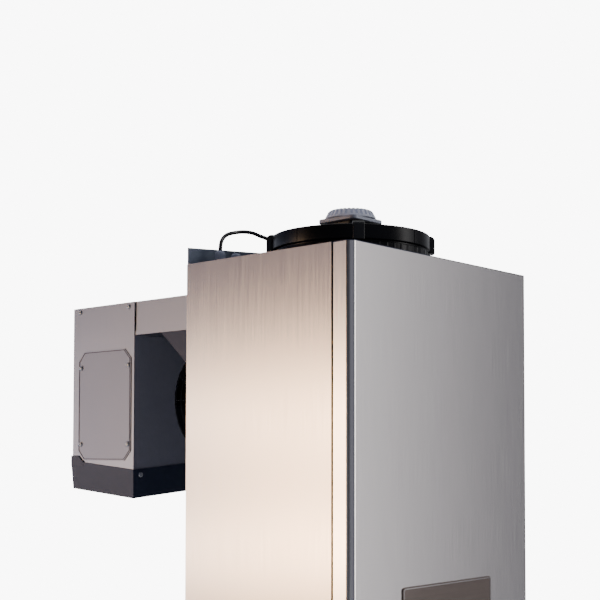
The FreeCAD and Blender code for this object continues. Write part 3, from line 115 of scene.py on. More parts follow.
def newMaterial(name):
    material = bpy.data.materials.new(name)
    material.use_nodes = True
    material.node_tree.nodes.clear()
    return material, material.node_tree


grainShare = 0.6  # of the colour's change; the slow drift has the rest
coatRoughness = 0.12


def surfaceFinish(name, look):
    # a base colour that drifts slowly, and a fine grain that drives roughness and bump
    material, tree = newMaterial(name)
    place = addNode(tree, "ShaderNodeTexCoord")
    stretch = addNode(tree, "ShaderNodeMapping", {"Scale": look["grainStretch"]},
                      {"Vector": place.outputs["Object"]})
    grain = addNode(tree, "ShaderNodeTexNoise", {"Scale": 1.0, "Detail": 3.0, "Roughness": 0.6},
                    {"Vector": stretch.outputs["Vector"]})
    drift = addNode(tree, "ShaderNodeTexNoise", {"Scale": look["driftScale"], "Detail": 2.0},
                    {"Vector": place.outputs["Object"]})
    grainPart = addNode(tree, "ShaderNodeMath", {"operation": "MULTIPLY_ADD", 1: grainShare, 2: 0.0},
                        {0: grain.outputs["Fac"]})
    both = addNode(tree, "ShaderNodeMath", {"operation": "MULTIPLY_ADD", 1: 1 - grainShare},
                   {0: drift.outputs["Fac"], 2: grainPart.outputs[0]})
    shades = {"data_type": "RGBA", 6: linear(look["dark"]), 7: linear(look["light"])}
    colour = addNode(tree, "ShaderNodeMix", shades, {0: both.outputs[0]})
    rough = addNode(tree, "ShaderNodeMapRange",
                    {"From Min": 0.3, "From Max": 0.7, "To Min": look["smooth"], "To Max": look["rough"]},
                    {"Value": grain.outputs["Fac"]})
    bump = addNode(tree, "ShaderNodeBump", {"Strength": look["bump"], "Distance": look["bumpDepth"]},
                   {"Height": grain.outputs["Fac"]})
    shader = addNode(tree, "ShaderNodeBsdfPrincipled", {"Metallic": look["metal"]},
                     {"Base Color": colour.outputs[2], "Roughness": rough.outputs[0],
                      "Normal": bump.outputs["Normal"]})
    if "specular" in look:
        shader.inputs["Specular IOR Level"].default_value = look["specular"]
    if "coat" in look:
        shader.inputs["Coat Weight"].default_value = look["coat"]
        shader.inputs["Coat Roughness"].default_value = coatRoughness
    out = addNode(tree, "ShaderNodeOutputMaterial")
    tree.links.new(shader.outputs[0], out.inputs[0])
    return material


# brushed lines run upright, about 0.4 mm apart, drawn at 1.5 mm so that they show
upright = (700.0, 700.0, 9.0)
even = (900.0, 900.0, 900.0)
peel = (420.0, 420.0, 420.0)  # powder coat has a soft 2 mm orange peel

finishes = {
    # stainless sheet, brushed along its length: satin, with a long soft highlight
    "brushed_stainless": dict(dark="#b5b1b0", light="#c9c5c2", smooth=0.14, rough=0.20, metal=1.0,
                              grainStretch=upright, driftScale=2.5, bump=0.10, bumpDepth=0.0002),
    # the front cover's sheet came out paler than the side panels
    "bright_stainless": dict(dark="#dcd8d6", light="#ece8e4", smooth=0.15, rough=0.20, metal=1.0,
                             grainStretch=upright, driftScale=2.5, bump=0.08, bumpDepth=0.0002),
    # the evaporator's sheet is greyer and duller
    "dull_stainless": dict(dark="#767b87", light="#868b97", smooth=0.30, rough=0.40, metal=1.0,
                           grainStretch=upright, driftScale=3.5, bump=0.10, bumpDepth=0.0002),
    # stainless blasted with fine beads: even and matt, without lines
    "bead_blasted_plate": dict(dark="#727784", light="#7f8491", smooth=0.38, rough=0.48, metal=1.0,
                               grainStretch=even, driftScale=6.0, bump=0.12, bumpDepth=0.0002),
    # anodised aluminium in a bronze grey
    "name_plate_metal": dict(dark="#5d5450", light="#756b66", smooth=0.30, rough=0.38, metal=0.9,
                             grainStretch=(9.0, 700.0, 700.0), driftScale=5.0, bump=0.06, bumpDepth=0.0002),
    # graphite powder coat on steel
    "graphite_paint": dict(dark="#1f2536", light="#293044", smooth=0.40, rough=0.50, metal=0.4,
                           grainStretch=peel, driftScale=4.0, bump=0.18, bumpDepth=0.0003),
    # the wall plate's paint is a lighter blue grey
    "wall_plate_paint": dict(dark="#5b6474", light="#6a7384", smooth=0.38, rough=0.48, metal=0.3,
                             grainStretch=peel, driftScale=4.0, bump=0.12, bumpDepth=0.0003),
    # grey powder coat, partly painted shade: the sheet is kept darker than the evaporator's stainless
    # because it sits in the gap, where little light gets in
    "dark_fan_plate": dict(dark="#74747e", light="#8a8a94", smooth=0.40, rough=0.52, metal=0.3,
                           grainStretch=peel, driftScale=4.0, bump=0.15, bumpDepth=0.0003),
    # galvanised steel: dull, with faint spangle
    "galvanised_sheet": dict(dark="#8d9296", light="#aeb2b5", smooth=0.42, rough=0.58, metal=0.9,
                             grainStretch=(90.0, 90.0, 90.0), driftScale=9.0, bump=0.08, bumpDepth=0.0002),
    # polypropylene moulding, glossy black
    "black_ring_plastic": dict(dark="#050508", light="#0a0a0e", smooth=0.24, rough=0.34, metal=0.0,
                               grainStretch=even, driftScale=5.0, bump=0.03, bumpDepth=0.0001,
                               specular=0.2),
    # black powder coat, smoother than the graphite one
    "black_arm_paint": dict(dark="#07080b", light="#0e0f13", smooth=0.26, rough=0.36, metal=0.1,
                            grainStretch=peel, driftScale=5.0, bump=0.12, bumpDepth=0.0002),
    # dipped wire, black with soft highlights
    "guard_wire_coat": dict(dark="#0d0d11", light="#17171c", smooth=0.28, rough=0.38, metal=0.1,
                            grainStretch=peel, driftScale=5.0, bump=0.08, bumpDepth=0.0002),
    # die-cast aluminium, left as cast
    "motor_base_grey": dict(dark="#878b96", light="#a2a6b1", smooth=0.48, rough=0.62, metal=0.6,
                            grainStretch=even, driftScale=9.0, bump=0.25, bumpDepth=0.0003),
    # glass-filled nylon, grey
    "motor_cap_grey": dict(dark="#bcc1cf", light="#d4d9e6", smooth=0.46, rough=0.58, metal=0.0,
                           grainStretch=even, driftScale=9.0, bump=0.20, bumpDepth=0.0002),
    # moulded blades, satin dark grey
    "blade_plastic": dict(dark="#2e2f35", light="#3c3d44", smooth=0.38, rough=0.50, metal=0.0,
                          grainStretch=even, driftScale=6.0, bump=0.10, bumpDepth=0.0002),
    # painted motor shell, dark with a faint gleam of metal
    "rotor_steel": dict(dark="#17181c", light="#26272c", smooth=0.34, rough=0.44, metal=0.4,
                        grainStretch=even, driftScale=6.0, bump=0.10, bumpDepth=0.0002),
    # nylon, blue grey and half matt
    "gland_nylon": dict(dark="#788092", light="#959cad", smooth=0.40, rough=0.52, metal=0.0,
                        grainStretch=even, driftScale=9.0, bump=0.12, bumpDepth=0.0002),
    # PVC sheath, glossy black
    "cable_sheath": dict(dark="#08080b", light="#111116", smooth=0.18, rough=0.28, metal=0.0,
                         grainStretch=even, driftScale=9.0, bump=0.05, bumpDepth=0.0001, coat=0.2),
    # aluminium fin stock, 2 mm apart
    "coil_aluminium": dict(dark="#8c9094", light="#c6c9cc", smooth=0.30, rough=0.45, metal=1.0,
                           grainStretch=(500.0, 6.0, 6.0), driftScale=4.0, bump=0.6, bumpDepth=0.0006),
    # drawn copper, lightly tarnished
    "copper_tube": dict(dark="#8a4f33", light="#b87552", smooth=0.26, rough=0.42, metal=1.0,
                        grainStretch=(120.0, 120.0, 120.0), driftScale=14.0, bump=0.05, bumpDepth=0.0002),
    # thick black enamel, slightly wavy, with some gloss
    "compressor_black": dict(dark="#121316", light="#1e1f23", smooth=0.30, rough=0.42, metal=0.1,
                             grainStretch=peel, driftScale=5.0, bump=0.2, bumpDepth=0.0003),
    # black housing plastic, matt
    "terminal_plastic": dict(dark="#1b1c1f", light="#2a2b2f", smooth=0.45, rough=0.56, metal=0.0,
                             grainStretch=even, driftScale=8.0, bump=0.12, bumpDepth=0.0002),
    # rubber, black and without highlights
    "grommet_rubber": dict(dark="#101012", light="#1a1a1c", smooth=0.62, rough=0.74, metal=0.0,
                           grainStretch=even, driftScale=8.0, bump=0.2, bumpDepth=0.0002),
    # zinc plate, small and bright
    "zinc_fasteners": dict(dark="#a2a4a7", light="#c4c6c9", smooth=0.22, rough=0.34, metal=1.0,
                           grainStretch=even, driftScale=30.0, bump=0.06, bumpDepth=0.0001),
    # machined brass, warm and bright
    "valve_brass": dict(dark="#94733a", light="#c09a55", smooth=0.28, rough=0.40, metal=1.0,
                        grainStretch=even, driftScale=20.0, bump=0.08, bumpDepth=0.0001),
    # drawn stainless tube, even satin
    "heater_steel": dict(dark="#75757a", light="#94949a", smooth=0.32, rough=0.44, metal=1.0,
                         grainStretch=even, driftScale=9.0, bump=0.05, bumpDepth=0.0001),
    # expanded foam, cream, matt
    "duct_foam": dict(dark="#d8d2bd", light="#eee9d8", smooth=0.86, rough=0.95, metal=0.0,
                      grainStretch=(260.0, 260.0, 260.0), driftScale=12.0, bump=0.5, bumpDepth=0.0008),
}

finish = {name: surfaceFinish(name, look) for name, look in finishes.items()}

# sheets whose finish differs from the rest of their slot, as the picture shows them
ownFinish = {
    "rear_wall_plate": "wall_plate_paint",
    "front_cover": "bright_stainless",
    "evaporator_left_panel": "dull_stainless",
    "evaporator_right_panel": "dull_stainless",
    "evaporator_top_cover": "dull_stainless",
    "evaporator_outlet_grille": "dull_stainless",
    "duct_cover": "dull_stainless",
    "duct_floor": "dull_stainless",
}


def dressSolids():
    for part in frame["record"]["subparts"]:
        solid = nodes[part["node"]]
        if not solid.material_slots:
            solid.data.materials.append(None)
        for place in solid.material_slots:
            place.material = finish[ownFinish.get(part["node"], part["material_slot"])]


dressSolids()
print("materials made:", len(finish))


# mesh tools

weldGap = 1e-6
sharpAngle = 32  # degrees; gentler edges are shaded smooth
arcShare = 0.45  # of a run, the most that the arc at its end may take
sideways = [0, 2, 1]  # turns a piece drawn along Z so that it lies along Y


def gridPiece(name, grids, slotName, look=None):
    # grid[i, j] is the place at step i round and j along; welding doubles closes the poles
    places, quads, first = [], [], 0
    for grid in grids:
        around, along = grid.shape[:2]
        index = first + np.arange(around * along).reshape(around, along)
        ahead = np.roll(index, -1, axis=0)
        corners = [index[:, :-1], ahead[:, :-1], ahead[:, 1:], index[:, 1:]]
        quads.append(np.stack(corners, -1).reshape(-1, 4))
        places.append(grid.reshape(-1, 3))
        first += around * along
    return meshPiece(name, np.concatenate(places), np.concatenate(quads), slotName, look)


def meshPiece(name, points, quads, slotName, look=None):
    mesh = bpy.data.meshes.new(name)
    mesh.from_pydata(np.asarray(points).tolist(), [], np.asarray(quads).tolist())
    work = bmesh.new()
    work.from_mesh(mesh)
    bmesh.ops.remove_doubles(work, verts=work.verts, dist=weldGap)
    bmesh.ops.recalc_face_normals(work, faces=work.faces)
    work.to_mesh(mesh)
    work.free()
    piece = bpy.data.objects.new(name, mesh)
    bpy.context.scene.collection.objects.link(piece)
    mesh.materials.append(finish[look or slotName])
    mesh.polygons.foreach_set("use_smooth", np.ones(len(mesh.polygons), bool))
    mesh.set_sharp_from_angle(angle=math.radians(sharpAngle))
    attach(piece, "unit")
    return piece


def easedProfile(corners, radius, steps=4):
    # an open outline whose inner corners become arcs of one radius, shortened where a run is too short
    corners = np.asarray(corners, float)
    pieces = [corners[:1]]
    for before, here, after in zip(corners, corners[1:], corners[2:]):
        back, ahead = before - here, after - here
        reach = min(radius, arcShare * np.linalg.norm(back), arcShare * np.linalg.norm(ahead))
        start = here + back / np.linalg.norm(back) * reach
        end = here + ahead / np.linalg.norm(ahead) * reach
        t = np.linspace(0, 1, steps + 1)[:, None]
        pieces.append((1 - t) ** 2 * start + 2 * t * (1 - t) * here + t ** 2 * end)
    pieces.append(corners[-1:])
    return np.concatenate(pieces)


def turnedPoints(profile, steps, ripple=None):
    # radius and height carried round Z; ripple(angle, radius, height) gives the radius back
    angle = np.linspace(0, 2 * np.pi, steps, endpoint=False)[:, None]
    radius = np.broadcast_to(profile[None, :, 0], (steps, len(profile)))
    height = np.broadcast_to(profile[None, :, 1], (steps, len(profile)))
    if ripple:
        radius = ripple(angle, radius, height)
    return np.stack([radius * np.cos(angle), radius * np.sin(angle), height], -1)


def aroundZ(grid, bearing):
    # the same places, turned about the upright axis
    c, s = math.cos(bearing), math.sin(bearing)
    return np.stack([grid[..., 0] * c - grid[..., 1] * s, grid[..., 0] * s + grid[..., 1] * c,
                     grid[..., 2]], -1)


def middle(node):
    low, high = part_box(node)
    return (low + high) / 2, (high - low) / 2


# condenser fan ring: a glossy moulding with a banded rim and small ribs under it

ringLook = {
    "bore": 0.121, "outer": 0.1553, "wall": 0.0030, "band": 0.028, "groove": 0.004, "step": 0.003,
    "ease": 0.0022, "steps": 960, "ribs": 60, "ribOut": 0.0007, "joints": 4, "jointDeep": 0.0010,
    "jointLimit": 0.9996,  # a joint line is cut where its cosine is above this
    "margin": 0.001,
}


def makeFanRing():
    centre, half = middle("condenser_fan_ring")
    look = ringLook
    bore, outer, wall, margin = look["bore"], look["outer"], look["wall"], look["margin"]
    top = 2 * half.z
    low = top - look["band"]
    under = low - look["groove"]
    neck = outer - 2 * wall
    skirt = outer - look["step"]
    profile = easedProfile([
        (bore, 0), (bore, top), (outer, top), (outer, low), (neck, low), (neck, under), (skirt, under),
        (skirt, 0), (neck - wall, 0), (neck - wall, top - wall), (bore + wall, top - wall),
        (bore + wall, 0), (bore, 0)], look["ease"])

    def ribs(angle, radius, height):
        # raised where the cosine of ribs times the angle is near one, on the outer skirt only
        crest = np.clip(np.cos(look["ribs"] * angle) * 4 - 3, 0, 1)
        onSkirt = (radius > neck + margin) & (height < under + margin)
        joint = (np.cos(look["joints"] * angle) > look["jointLimit"]) & (radius > outer - margin / 2)
        return radius + crest * onSkirt * look["ribOut"] - joint * look["jointDeep"]

    points = turnedPoints(profile, look["steps"], ribs) + np.array([centre.x, centre.y, centre.z - half.z])
    piece = gridPiece("fanRingMoulding", [points], "black_ring_plastic")
    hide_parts("condenser_fan_ring")


# motor cap: a grey moulding with thirty fins and a plain crown

capLook = {
    "low": 0.051, "draft": 0.001, "skirt": 0.004, "top": 0.044, "bevelIn": 0.003, "bevelDown": 0.002,
    "dish": 0.018, "dishFloor": 0.016, "dishDeep": 0.0012, "ease": 0.0012, "steps": 720,
    "fins": 30, "finDepth": 0.0042, "finFoot": 0.003, "finRise": 0.002, "finInner": 0.03,
}


def makeMotorCap(node, name, flip):
    centre, half = middle(node)
    look = capLook
    axis = 1 if flip else 2
    tall = 2 * half[axis]
    low, top, floor = look["low"], look["top"], tall - look["dishDeep"]
    profile = easedProfile([
        (0, 0), (low, 0), (low - look["draft"], look["skirt"]), (top, tall - look["bevelDown"]),
        (top - look["bevelIn"], tall), (look["dish"], tall), (look["dishFloor"], floor), (0, floor)],
        look["ease"], 5)

    def fins(angle, radius, height):
        # drawn in between fins, from the skirt up to the crown
        between = np.clip(-np.cos(look["fins"] * angle) * 3, 0, 1)
        rising = np.clip((height - look["finFoot"]) / look["finRise"], 0, 1) * (radius > look["finInner"])
        return radius - between * rising * look["finDepth"]

    points = turnedPoints(profile, look["steps"], fins)
    if flip:
        points = points[..., sideways] * np.array([1, 1, -1])
    base = Vector(centre)
    base[axis] -= half[axis]
    points = points + np.array(base)
    piece = gridPiece(name, [points], "motor_cap_grey")
    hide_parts(node)


# motor arms: flat bars that end in thick rounded feet outside the ring

armLook = {
    "wide": 0.022, "thick": 0.004, "edge": 0.0016, "from": 0.012, "to": 0.157,
    "inner": 0.1515, "reach": 0.1655, "bend": 0.009, "bendSteps": 9,
    "bendShort": 0.1,  # radians that the foot's bend stops short of a quarter turn
    "footEdge": 0.002, "edgeShare": 0.8,
}


def roundedRectangle(halfA, halfB, radius, steps=5):
    # a closed outline, corner by corner, without its last point
    turn = np.linspace(0, np.pi / 2, steps)
    runs = []
    for quarter, (a, b) in enumerate(((1, 1), (-1, 1), (-1, -1), (1, -1))):
        angle = turn + quarter * np.pi / 2
        runs.append(np.stack([a * (halfA - radius) + radius * np.cos(angle),
                              b * (halfB - radius) + radius * np.sin(angle)], -1))
    return np.concatenate(runs)


def capped(rows):
    # rows of outlines, closed at both ends by their own middles
    ends = [np.repeat(row.mean(0)[None], len(row), 0) for row in (rows[0], rows[-1])]
    return np.stack([ends[0], *rows, ends[1]], 1)


def makeMotorArms(node, name, flip):
    centre, half = middle(node)
    leg = 2 * half[1 if flip else 2]
    look = armLook
    outline = roundedRectangle(look["wide"] / 2, look["thick"] / 2, look["edge"])
    bar = [np.insert(outline, 0, along, 1) - (0, 0, look["thick"] / 2)
           for along in (look["from"], look["to"])]
    turn = np.linspace(0, np.pi / 2 - look["bendShort"], look["bendSteps"])
    drops = [-leg, *(-look["bend"] + look["bend"] * np.sin(turn))]
    outs = [look["reach"], *(look["reach"] - look["bend"] + look["bend"] * np.cos(turn))]
    foot = []
    for drop, out in zip(drops, outs):
        deep = (out - look["inner"]) / 2
        edge = roundedRectangle(deep, look["wide"] / 2, min(look["footEdge"], deep * look["edgeShare"]))
        foot.append(np.insert(edge + ((out + look["inner"]) / 2, 0), 2, drop, 1))
    grids = [aroundZ(grid, math.radians(45 + 90 * quarter))
             for quarter in range(4) for grid in (capped(bar), capped(foot))]
    shift = np.array([centre.x, centre.y, centre.z + half.z])
    if flip:
        grids = [grid[..., sideways] for grid in grids]
        shift = np.array([centre.x, centre.y + half.y, centre.z])
    piece = gridPiece(name, [grid + shift for grid in grids], "black_arm_paint")
    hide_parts(node)


# motor base: a black pedestal under a square grey flange with round corners

baseLook = {"pedestal": 0.036, "flange": 0.0472, "flangeTall": 0.008, "corner": 0.012, "edge": 0.0012}


def makeMotorBase(node, name, flip):
    centre, half = middle(node)
    axis = 1 if flip else 2
    low, high = -half[axis], half[axis]
    under = high - baseLook["flangeTall"]
    edge, corner = baseLook["edge"], baseLook["corner"]
    storeys = (("Pedestal", "black_arm_paint", baseLook["pedestal"], low, under),
               ("Flange", None, baseLook["flange"], under, high))
    for part, ownLook, reach, bottom, top in storeys:
        rows = []
        for inset, level in ((edge, bottom), (0, bottom + edge), (0, top - edge), (edge, top)):
            outline = roundedRectangle(reach - inset, reach - inset, corner - inset, 9)
            rows.append(np.insert(outline, 2, level, 1))
        grid = capped(rows)
        if flip:
            grid = grid[..., sideways]
        piece = gridPiece(name + part, [grid + np.array(centre)], "motor_base_grey", look=ownLook)
        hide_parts(node)


# finger guards: rings of round wire on eight spokes

guardLook = {"wire": 0.0016, "rings": (0.0370, 0.0535, 0.0700, 0.0865, 0.1030, 0.1186), "ringSteps": 160,
             "wireSteps": 12, "hub": 0.010, "spokes": 8}


def makeGuard(node, name, flip):
    centre = middle(node)[0]
    wire, sides, spokes = guardLook["wire"], guardLook["wireSteps"], guardLook["spokes"]
    turn = np.linspace(0, 2 * np.pi, sides + 1)
    grids = []
    for radius in guardLook["rings"]:
        section = np.stack([radius + wire * np.cos(turn), wire * np.sin(turn)], -1)
        grids.append(turnedPoints(section, guardLook["ringSteps"]))
    inner, outer = guardLook["hub"], guardLook["rings"][-1]
    rod = turnedPoints(np.array([(0, inner), (wire, inner), (wire, outer), (0, outer)]), sides)
    rod = rod[..., [2, 0, 1]]  # laid along X
    grids += [aroundZ(rod, 2 * math.pi / spokes * spoke) for spoke in range(spokes)]
    if flip:
        grids = [grid[..., sideways] for grid in grids]
    piece = gridPiece(name, [grid + np.array(centre) for grid in grids], "guard_wire_coat")
    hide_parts(node)


# cable glands: a hexagon foot, a ribbed dome nut and a rounded crown

glandLook = {
    "places": ((-0.217, -0.030), (-0.174, -0.030)),
    "deck": 0.450,
    # radius and height over the deck: thread, foot, neck, dome nut, crown and mouth
    "profile": ((0.0036, -0.0095), (0.0078, -0.0095), (0.0078, 0.0), (0.0108, 0.0), (0.0108, 0.0072),
                (0.0098, 0.0082), (0.0102, 0.0092), (0.0102, 0.0215), (0.0090, 0.0265),
                (0.0064, 0.0296), (0.0042, 0.0300), (0.0040, 0.0285), (0.0036, -0.0095)),
    "ease": 0.0008, "steps": 216, "flat": 0.0094, "ribs": 18, "ribDeep": 0.0006,
    "footLow": 0.0002, "footHigh": 0.0078, "footInner": 0.0090,
    "nutLow": 0.0094, "nutHigh": 0.0250, "nutInner": 0.0085,
}


def makeGlands():
    look = glandLook
    profile = easedProfile(look["profile"], look["ease"], 4)

    def flats(angle, radius, height):
        # six flats on the foot, fine ribs on the dome nut
        folded = (angle + np.pi / 6) % (np.pi / 3) - np.pi / 6
        foot = (height > look["footLow"]) & (height < look["footHigh"]) & (radius > look["footInner"])
        nut = (height > look["nutLow"]) & (height < look["nutHigh"]) & (radius > look["nutInner"])
        hexagon = np.minimum(radius, look["flat"] / np.cos(folded))
        grooved = radius - look["ribDeep"] * np.clip(-np.cos(look["ribs"] * angle) * 2, 0, 1)
        return np.where(foot, hexagon, np.where(nut, grooved, radius))

    turned = turnedPoints(profile, look["steps"], flats)
    grids = [turned + np.array([x, y, look["deck"]]) for x, y in look["places"]]
    piece = gridPiece("cableGlandBodies", grids, "gland_nylon")
    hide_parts("cable_glands")


# pan-head screws: the access plate's own, those along the evaporator's sides and one on the tray

screwLook = {
    "radius": 0.0056, "tall": 0.0030, "socket": 0.0018, "sunk": 0.0004, "ease": 0.0008, "steps": 48,
    "solidRadius": 0.0042,  # of the access plate's screws in the CAD
    "sideAlong": (0.219, 0.380), "sideHigh": 0.392,
    "trayAcross": -0.217, "trayHigh": 0.050,
    "trayLean": 0.0019,  # how far the tray's side leans in at that height
}


def screwHeads(places, out):
    # a low dome with a small round recess; out is the way the head faces
    r, tall, socket, sunk = (screwLook[key] for key in ("radius", "tall", "socket", "sunk"))
    profile = easedProfile([(0, -sunk), (r, -sunk), (r, tall * 0.45), (r * 0.62, tall * 0.95),
                            (socket, tall), (socket * 0.8, tall * 0.4), (0, tall * 0.4)],
                           screwLook["ease"], 5)
    turned = turnedPoints(profile, screwLook["steps"])
    facing = np.array(Vector((0, 0, 1)).rotation_difference(Vector(out)).to_matrix())
    return [turned @ facing.T + np.array(place) for place in places]


def makeScrews():
    look = screwLook
    centre, half = middle("access_plate_screws")
    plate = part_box("access_plate")[0].x
    reachY, reachZ = half.y - look["solidRadius"], half.z - look["solidRadius"]
    corners = [(plate, centre.y + reachY * sy, centre.z + reachZ * sz) for sy in (-1, 1) for sz in (-1, 1)]
    heads = gridPiece("accessPlateScrewHeads", screwHeads(corners, (-1, 0, 0)), "zinc_fasteners")
    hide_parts("access_plate_screws")
    left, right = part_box("evaporator_left_panel")[0].x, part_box("evaporator_right_panel")[1].x
    rows = []
    for side, out in ((left, (-1, 0, 0)), (right, (1, 0, 0))):
        rows += screwHeads([(side, y, look["sideHigh"]) for y in look["sideAlong"]], out)
    gridPiece("evaporatorSideScrewHeads", rows, "zinc_fasteners")
    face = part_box("drip_tray")[0].y + look["trayLean"]
    head = screwHeads([(look["trayAcross"], face, look["trayHigh"])], (0, -1, 0))
    gridPiece("trayScrewHead", head, "zinc_fasteners")


# folded front corners of the cover, drawn as true arcs

cornerLook = {"radius": 0.012, "skin": 0.0008, "proud": 0.00005, "low": -0.4498, "high": 0.4483,
              "steps": 25}


def makeCorners():
    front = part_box("top_deck")[0].y
    side = -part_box("front_cover")[0].x
    r, proud, skin = (cornerLook[key] for key in ("radius", "proud", "skin"))
    low, high = cornerLook["low"], cornerLook["high"]
    turn = np.linspace(0, np.pi / 2, cornerLook["steps"])

    def arc(sign, away):
        return np.stack([sign * (side - r + (r + away) * np.cos(turn)),
                         front + r - (r + away) * np.sin(turn)], -1)

    grids = []
    for sign in (-1, 1):
        loop = np.concatenate([arc(sign, proud), arc(sign, -skin)[::-1]])
        core = arc(sign, (proud - skin) / 2)
        end = np.concatenate([core, core[::-1]])
        rows = [np.insert(line, 2, level, 1)
                for line, level in ((end, low), (loop, low), (loop, high), (end, high))]
        grids.append(np.stack(rows, 1))
    gridPiece("coverCorners", grids, "brushed_stainless", look="bright_stainless")


# thin bright border round the bare name plate

borderLook = {"wide": 0.0016, "deep": 0.0004, "inset": 0.0022, "corner": 0.005}


def borderRows(outline, face, out, look):
    # outline(inset) gives a closed line; the border stands out of the face by its depth
    near, far = look["inset"], look["inset"] + look["wide"]
    lift = face + out * look["deep"]
    loop = ((near, face), (near, lift), (far, lift), (far, face), (near, face))
    return [(outline(inset), level) for inset, level in loop]


def makePlateBorder():
    centre, half = middle("name_plate")

    def outline(inset):
        corner = borderLook["corner"] - inset + borderLook["inset"]
        return roundedRectangle(half.x - inset, half.z - inset, corner, 9) + np.array([centre.x, centre.z])

    rows = [np.insert(line, 1, y, 1) for line, y in borderRows(outline, centre.y - half.y, -1, borderLook)]
    gridPiece("namePlateBorder", [np.stack(rows, 1)], "name_plate_metal", look="brushed_stainless")


# pressed bead just inside the edge of the access plate, with its cut corners; its dark graphite is a
# painted shadow along the plate's edge

beadLook = {"wide": 0.0014, "deep": 0.0006, "inset": 0.0022, "cut": 0.020, "cutShare": 0.6}


def makeShadowedAccessBead():
    centre, half = middle("access_plate")

    def outline(inset):
        y, z = half.y - inset, half.z - inset
        cut = beadLook["cut"] - inset * beadLook["cutShare"]
        corners = [(y, z - cut), (y - cut, z), (cut - y, z), (-y, z - cut),
                   (-y, cut - z), (cut - y, -z), (y - cut, -z), (y, cut - z)]
        return np.array(corners) + np.array([centre.y, centre.z])

    rows = [np.insert(line, 0, x, 1) for line, x in borderRows(outline, centre.x - half.x, -1, beadLook)]
    # the graphite look is painted shadow: a dark line standing for the shade at the plate's edge
    gridPiece("accessPlateBeadPaintedShadow", [np.stack(rows, 1)], "bead_blasted_plate", look="graphite_paint")


# raised end of the tray's left side, which falls in a soft step to the rim

lipLook = {"from": 0.363, "to": 0.404, "steps": 25, "rim": 0.076, "rise": 0.012, "run": 0.020,
           "foot": 0.010, "skin": 0.0015}


def makeTrayLip():
    look = lipLook
    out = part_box("drip_tray")[0].x
    inner = out + look["skin"]
    low = look["rim"] - look["foot"]
    along = np.linspace(look["from"], look["to"], look["steps"])
    step = np.clip((along - look["from"]) / look["run"], 0, 1)
    top = look["rim"] + look["rise"] * (3 * step ** 2 - 2 * step ** 3)
    loops = [np.array([(out, y, low), (out, y, high), (inner, y, high), (inner, y, low)])
             for y, high in zip(along, top)]
    gridPiece("trayRaisedEnd", [capped(loops)], "graphite_paint")


# fan lead: from the gland over to the motor arm

cable = {
    "route": [(-0.2170, -0.0300, 0.4740), (-0.2170, -0.0300, 0.4907), (-0.2077, -0.0264, 0.5056),
              (-0.1913, -0.0215, 0.5163), (-0.1700, -0.0194, 0.5230), (-0.1495, -0.0242, 0.5272),
              (-0.1344, -0.0347, 0.5260), (-0.1241, -0.0472, 0.5185), (-0.1152, -0.0580, 0.5135)],
    "radius": 0.0038,
    "diameter": 0.0064,
    "length": 0.1483,
}


def makeFanCable():
    data = bpy.data.curves.new("fanLead", "CURVE")
    data.dimensions = "3D"
    data.bevel_depth = cable["radius"]
    data.bevel_resolution = 6
    data.resolution_u = 10
    data.use_fill_caps = True
    spline = data.splines.new("NURBS")
    spline.points.add(len(cable["route"]) - 1)
    for point, place in zip(spline.points, cable["route"]):
        point.co = (*place, 1.0)
        point.radius = 1.0
    spline.order_u = 3
    spline.use_endpoint_u = True
    data.materials.append(finish["cable_sheath"])
    piece = bpy.data.objects.new("fanLead", data)
    bpy.context.scene.collection.objects.link(piece)
    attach(piece, "unit")
    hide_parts("fan_cable")


makeFanRing()
makeMotorCap("condenser_motor_cap", "fanMotorCap", False)
makeMotorCap("evaporator_motor_cap", "roomFanMotorCap", True)
makeMotorArms("condenser_motor_arms", "fanMotorArms", False)
makeMotorArms("evaporator_motor_arms", "roomFanMotorArms", True)
makeMotorBase("condenser_motor_base", "fanMotor", False)
makeMotorBase("evaporator_motor_base", "roomFanMotor", True)
makeGuard("condenser_fan_guard", "fanFingerGuard", False)
makeGuard("evaporator_fan_guard", "roomFanFingerGuard", True)
print("fan pieces made")
makeGlands()
makeScrews()
makeCorners()
makePlateBorder()
makeShadowedAccessBead()
makeTrayLip()
print("fittings made")
makeFanCable()
print("fan lead laid")


# floor and light

stage = {"floorDrop": 0.30, "floorSize": 2.4, "colour": "#f6f6f6", "roughness": 0.8}

# brightness of the room by compass bearing, in degrees from +X towards +Y: mid grey round the camera, a
# narrow bright strip in front, grey that falls off to the right, pale walls at the back and a cream wall
# on the left. The levels are the cream wall's bands, by the height that a ray points at.
room = {
    "bearings": [(-180, "#7b7d8c", 0.30), (-158, "#7b7d8c", 0.30), (-138, "#a0a3b2", 0.50),
                 (-94, "#a0a3b2", 0.54), (-80, "#8b8d9c", 0.36), (-66, "#7b7d8c", 0.26),
                 (-57, "#f1efee", 5.00), (-50, "#f1efee", 4.00), (-45, "#cccbd0", 1.80),
                 (-39, "#c6c4c9", 1.35), (-32, "#b4b5c1", 0.34), (-18, "#a2a4ae", 0.28),
                 (8, "#c4c6cc", 0.90), (60, "#cccbca", 1.20), (105, "#a9badf", 1.20),
                 (128, "#a9badf", 1.35), (134, "#f6dfcb", 2.30), (139, "#fbdcbf", 3.50),
                 (145, "#fbdcbf", 3.50), (151, "#7b7d8c", 0.22)],
    "levels": [(-0.30, "#cfd3e0", 0.5), (-0.14, "#e0dede", 1.1), (-0.11, "#fff0dc", 2.6),
               (-0.084, "#ffefd8", 9.0), (-0.060, "#ffefd8", 4.0), (-0.041, "#fff1e0", 2.2),
               (0.000, "#fff1e0", 3.0), (0.027, "#ffefd8", 6.5), (0.060, "#fff1e0", 2.0),
               (0.096, "#e6e4ea", 0.9), (0.13, "#bcc4ea", 0.28), (0.30, "#b4beea", 0.18)],
    "creamWay": (-0.66, 0.75, 0.0),
    "creamFrom": 0.55,
    "creamFull": 0.85,
    "white": 9.0,
}

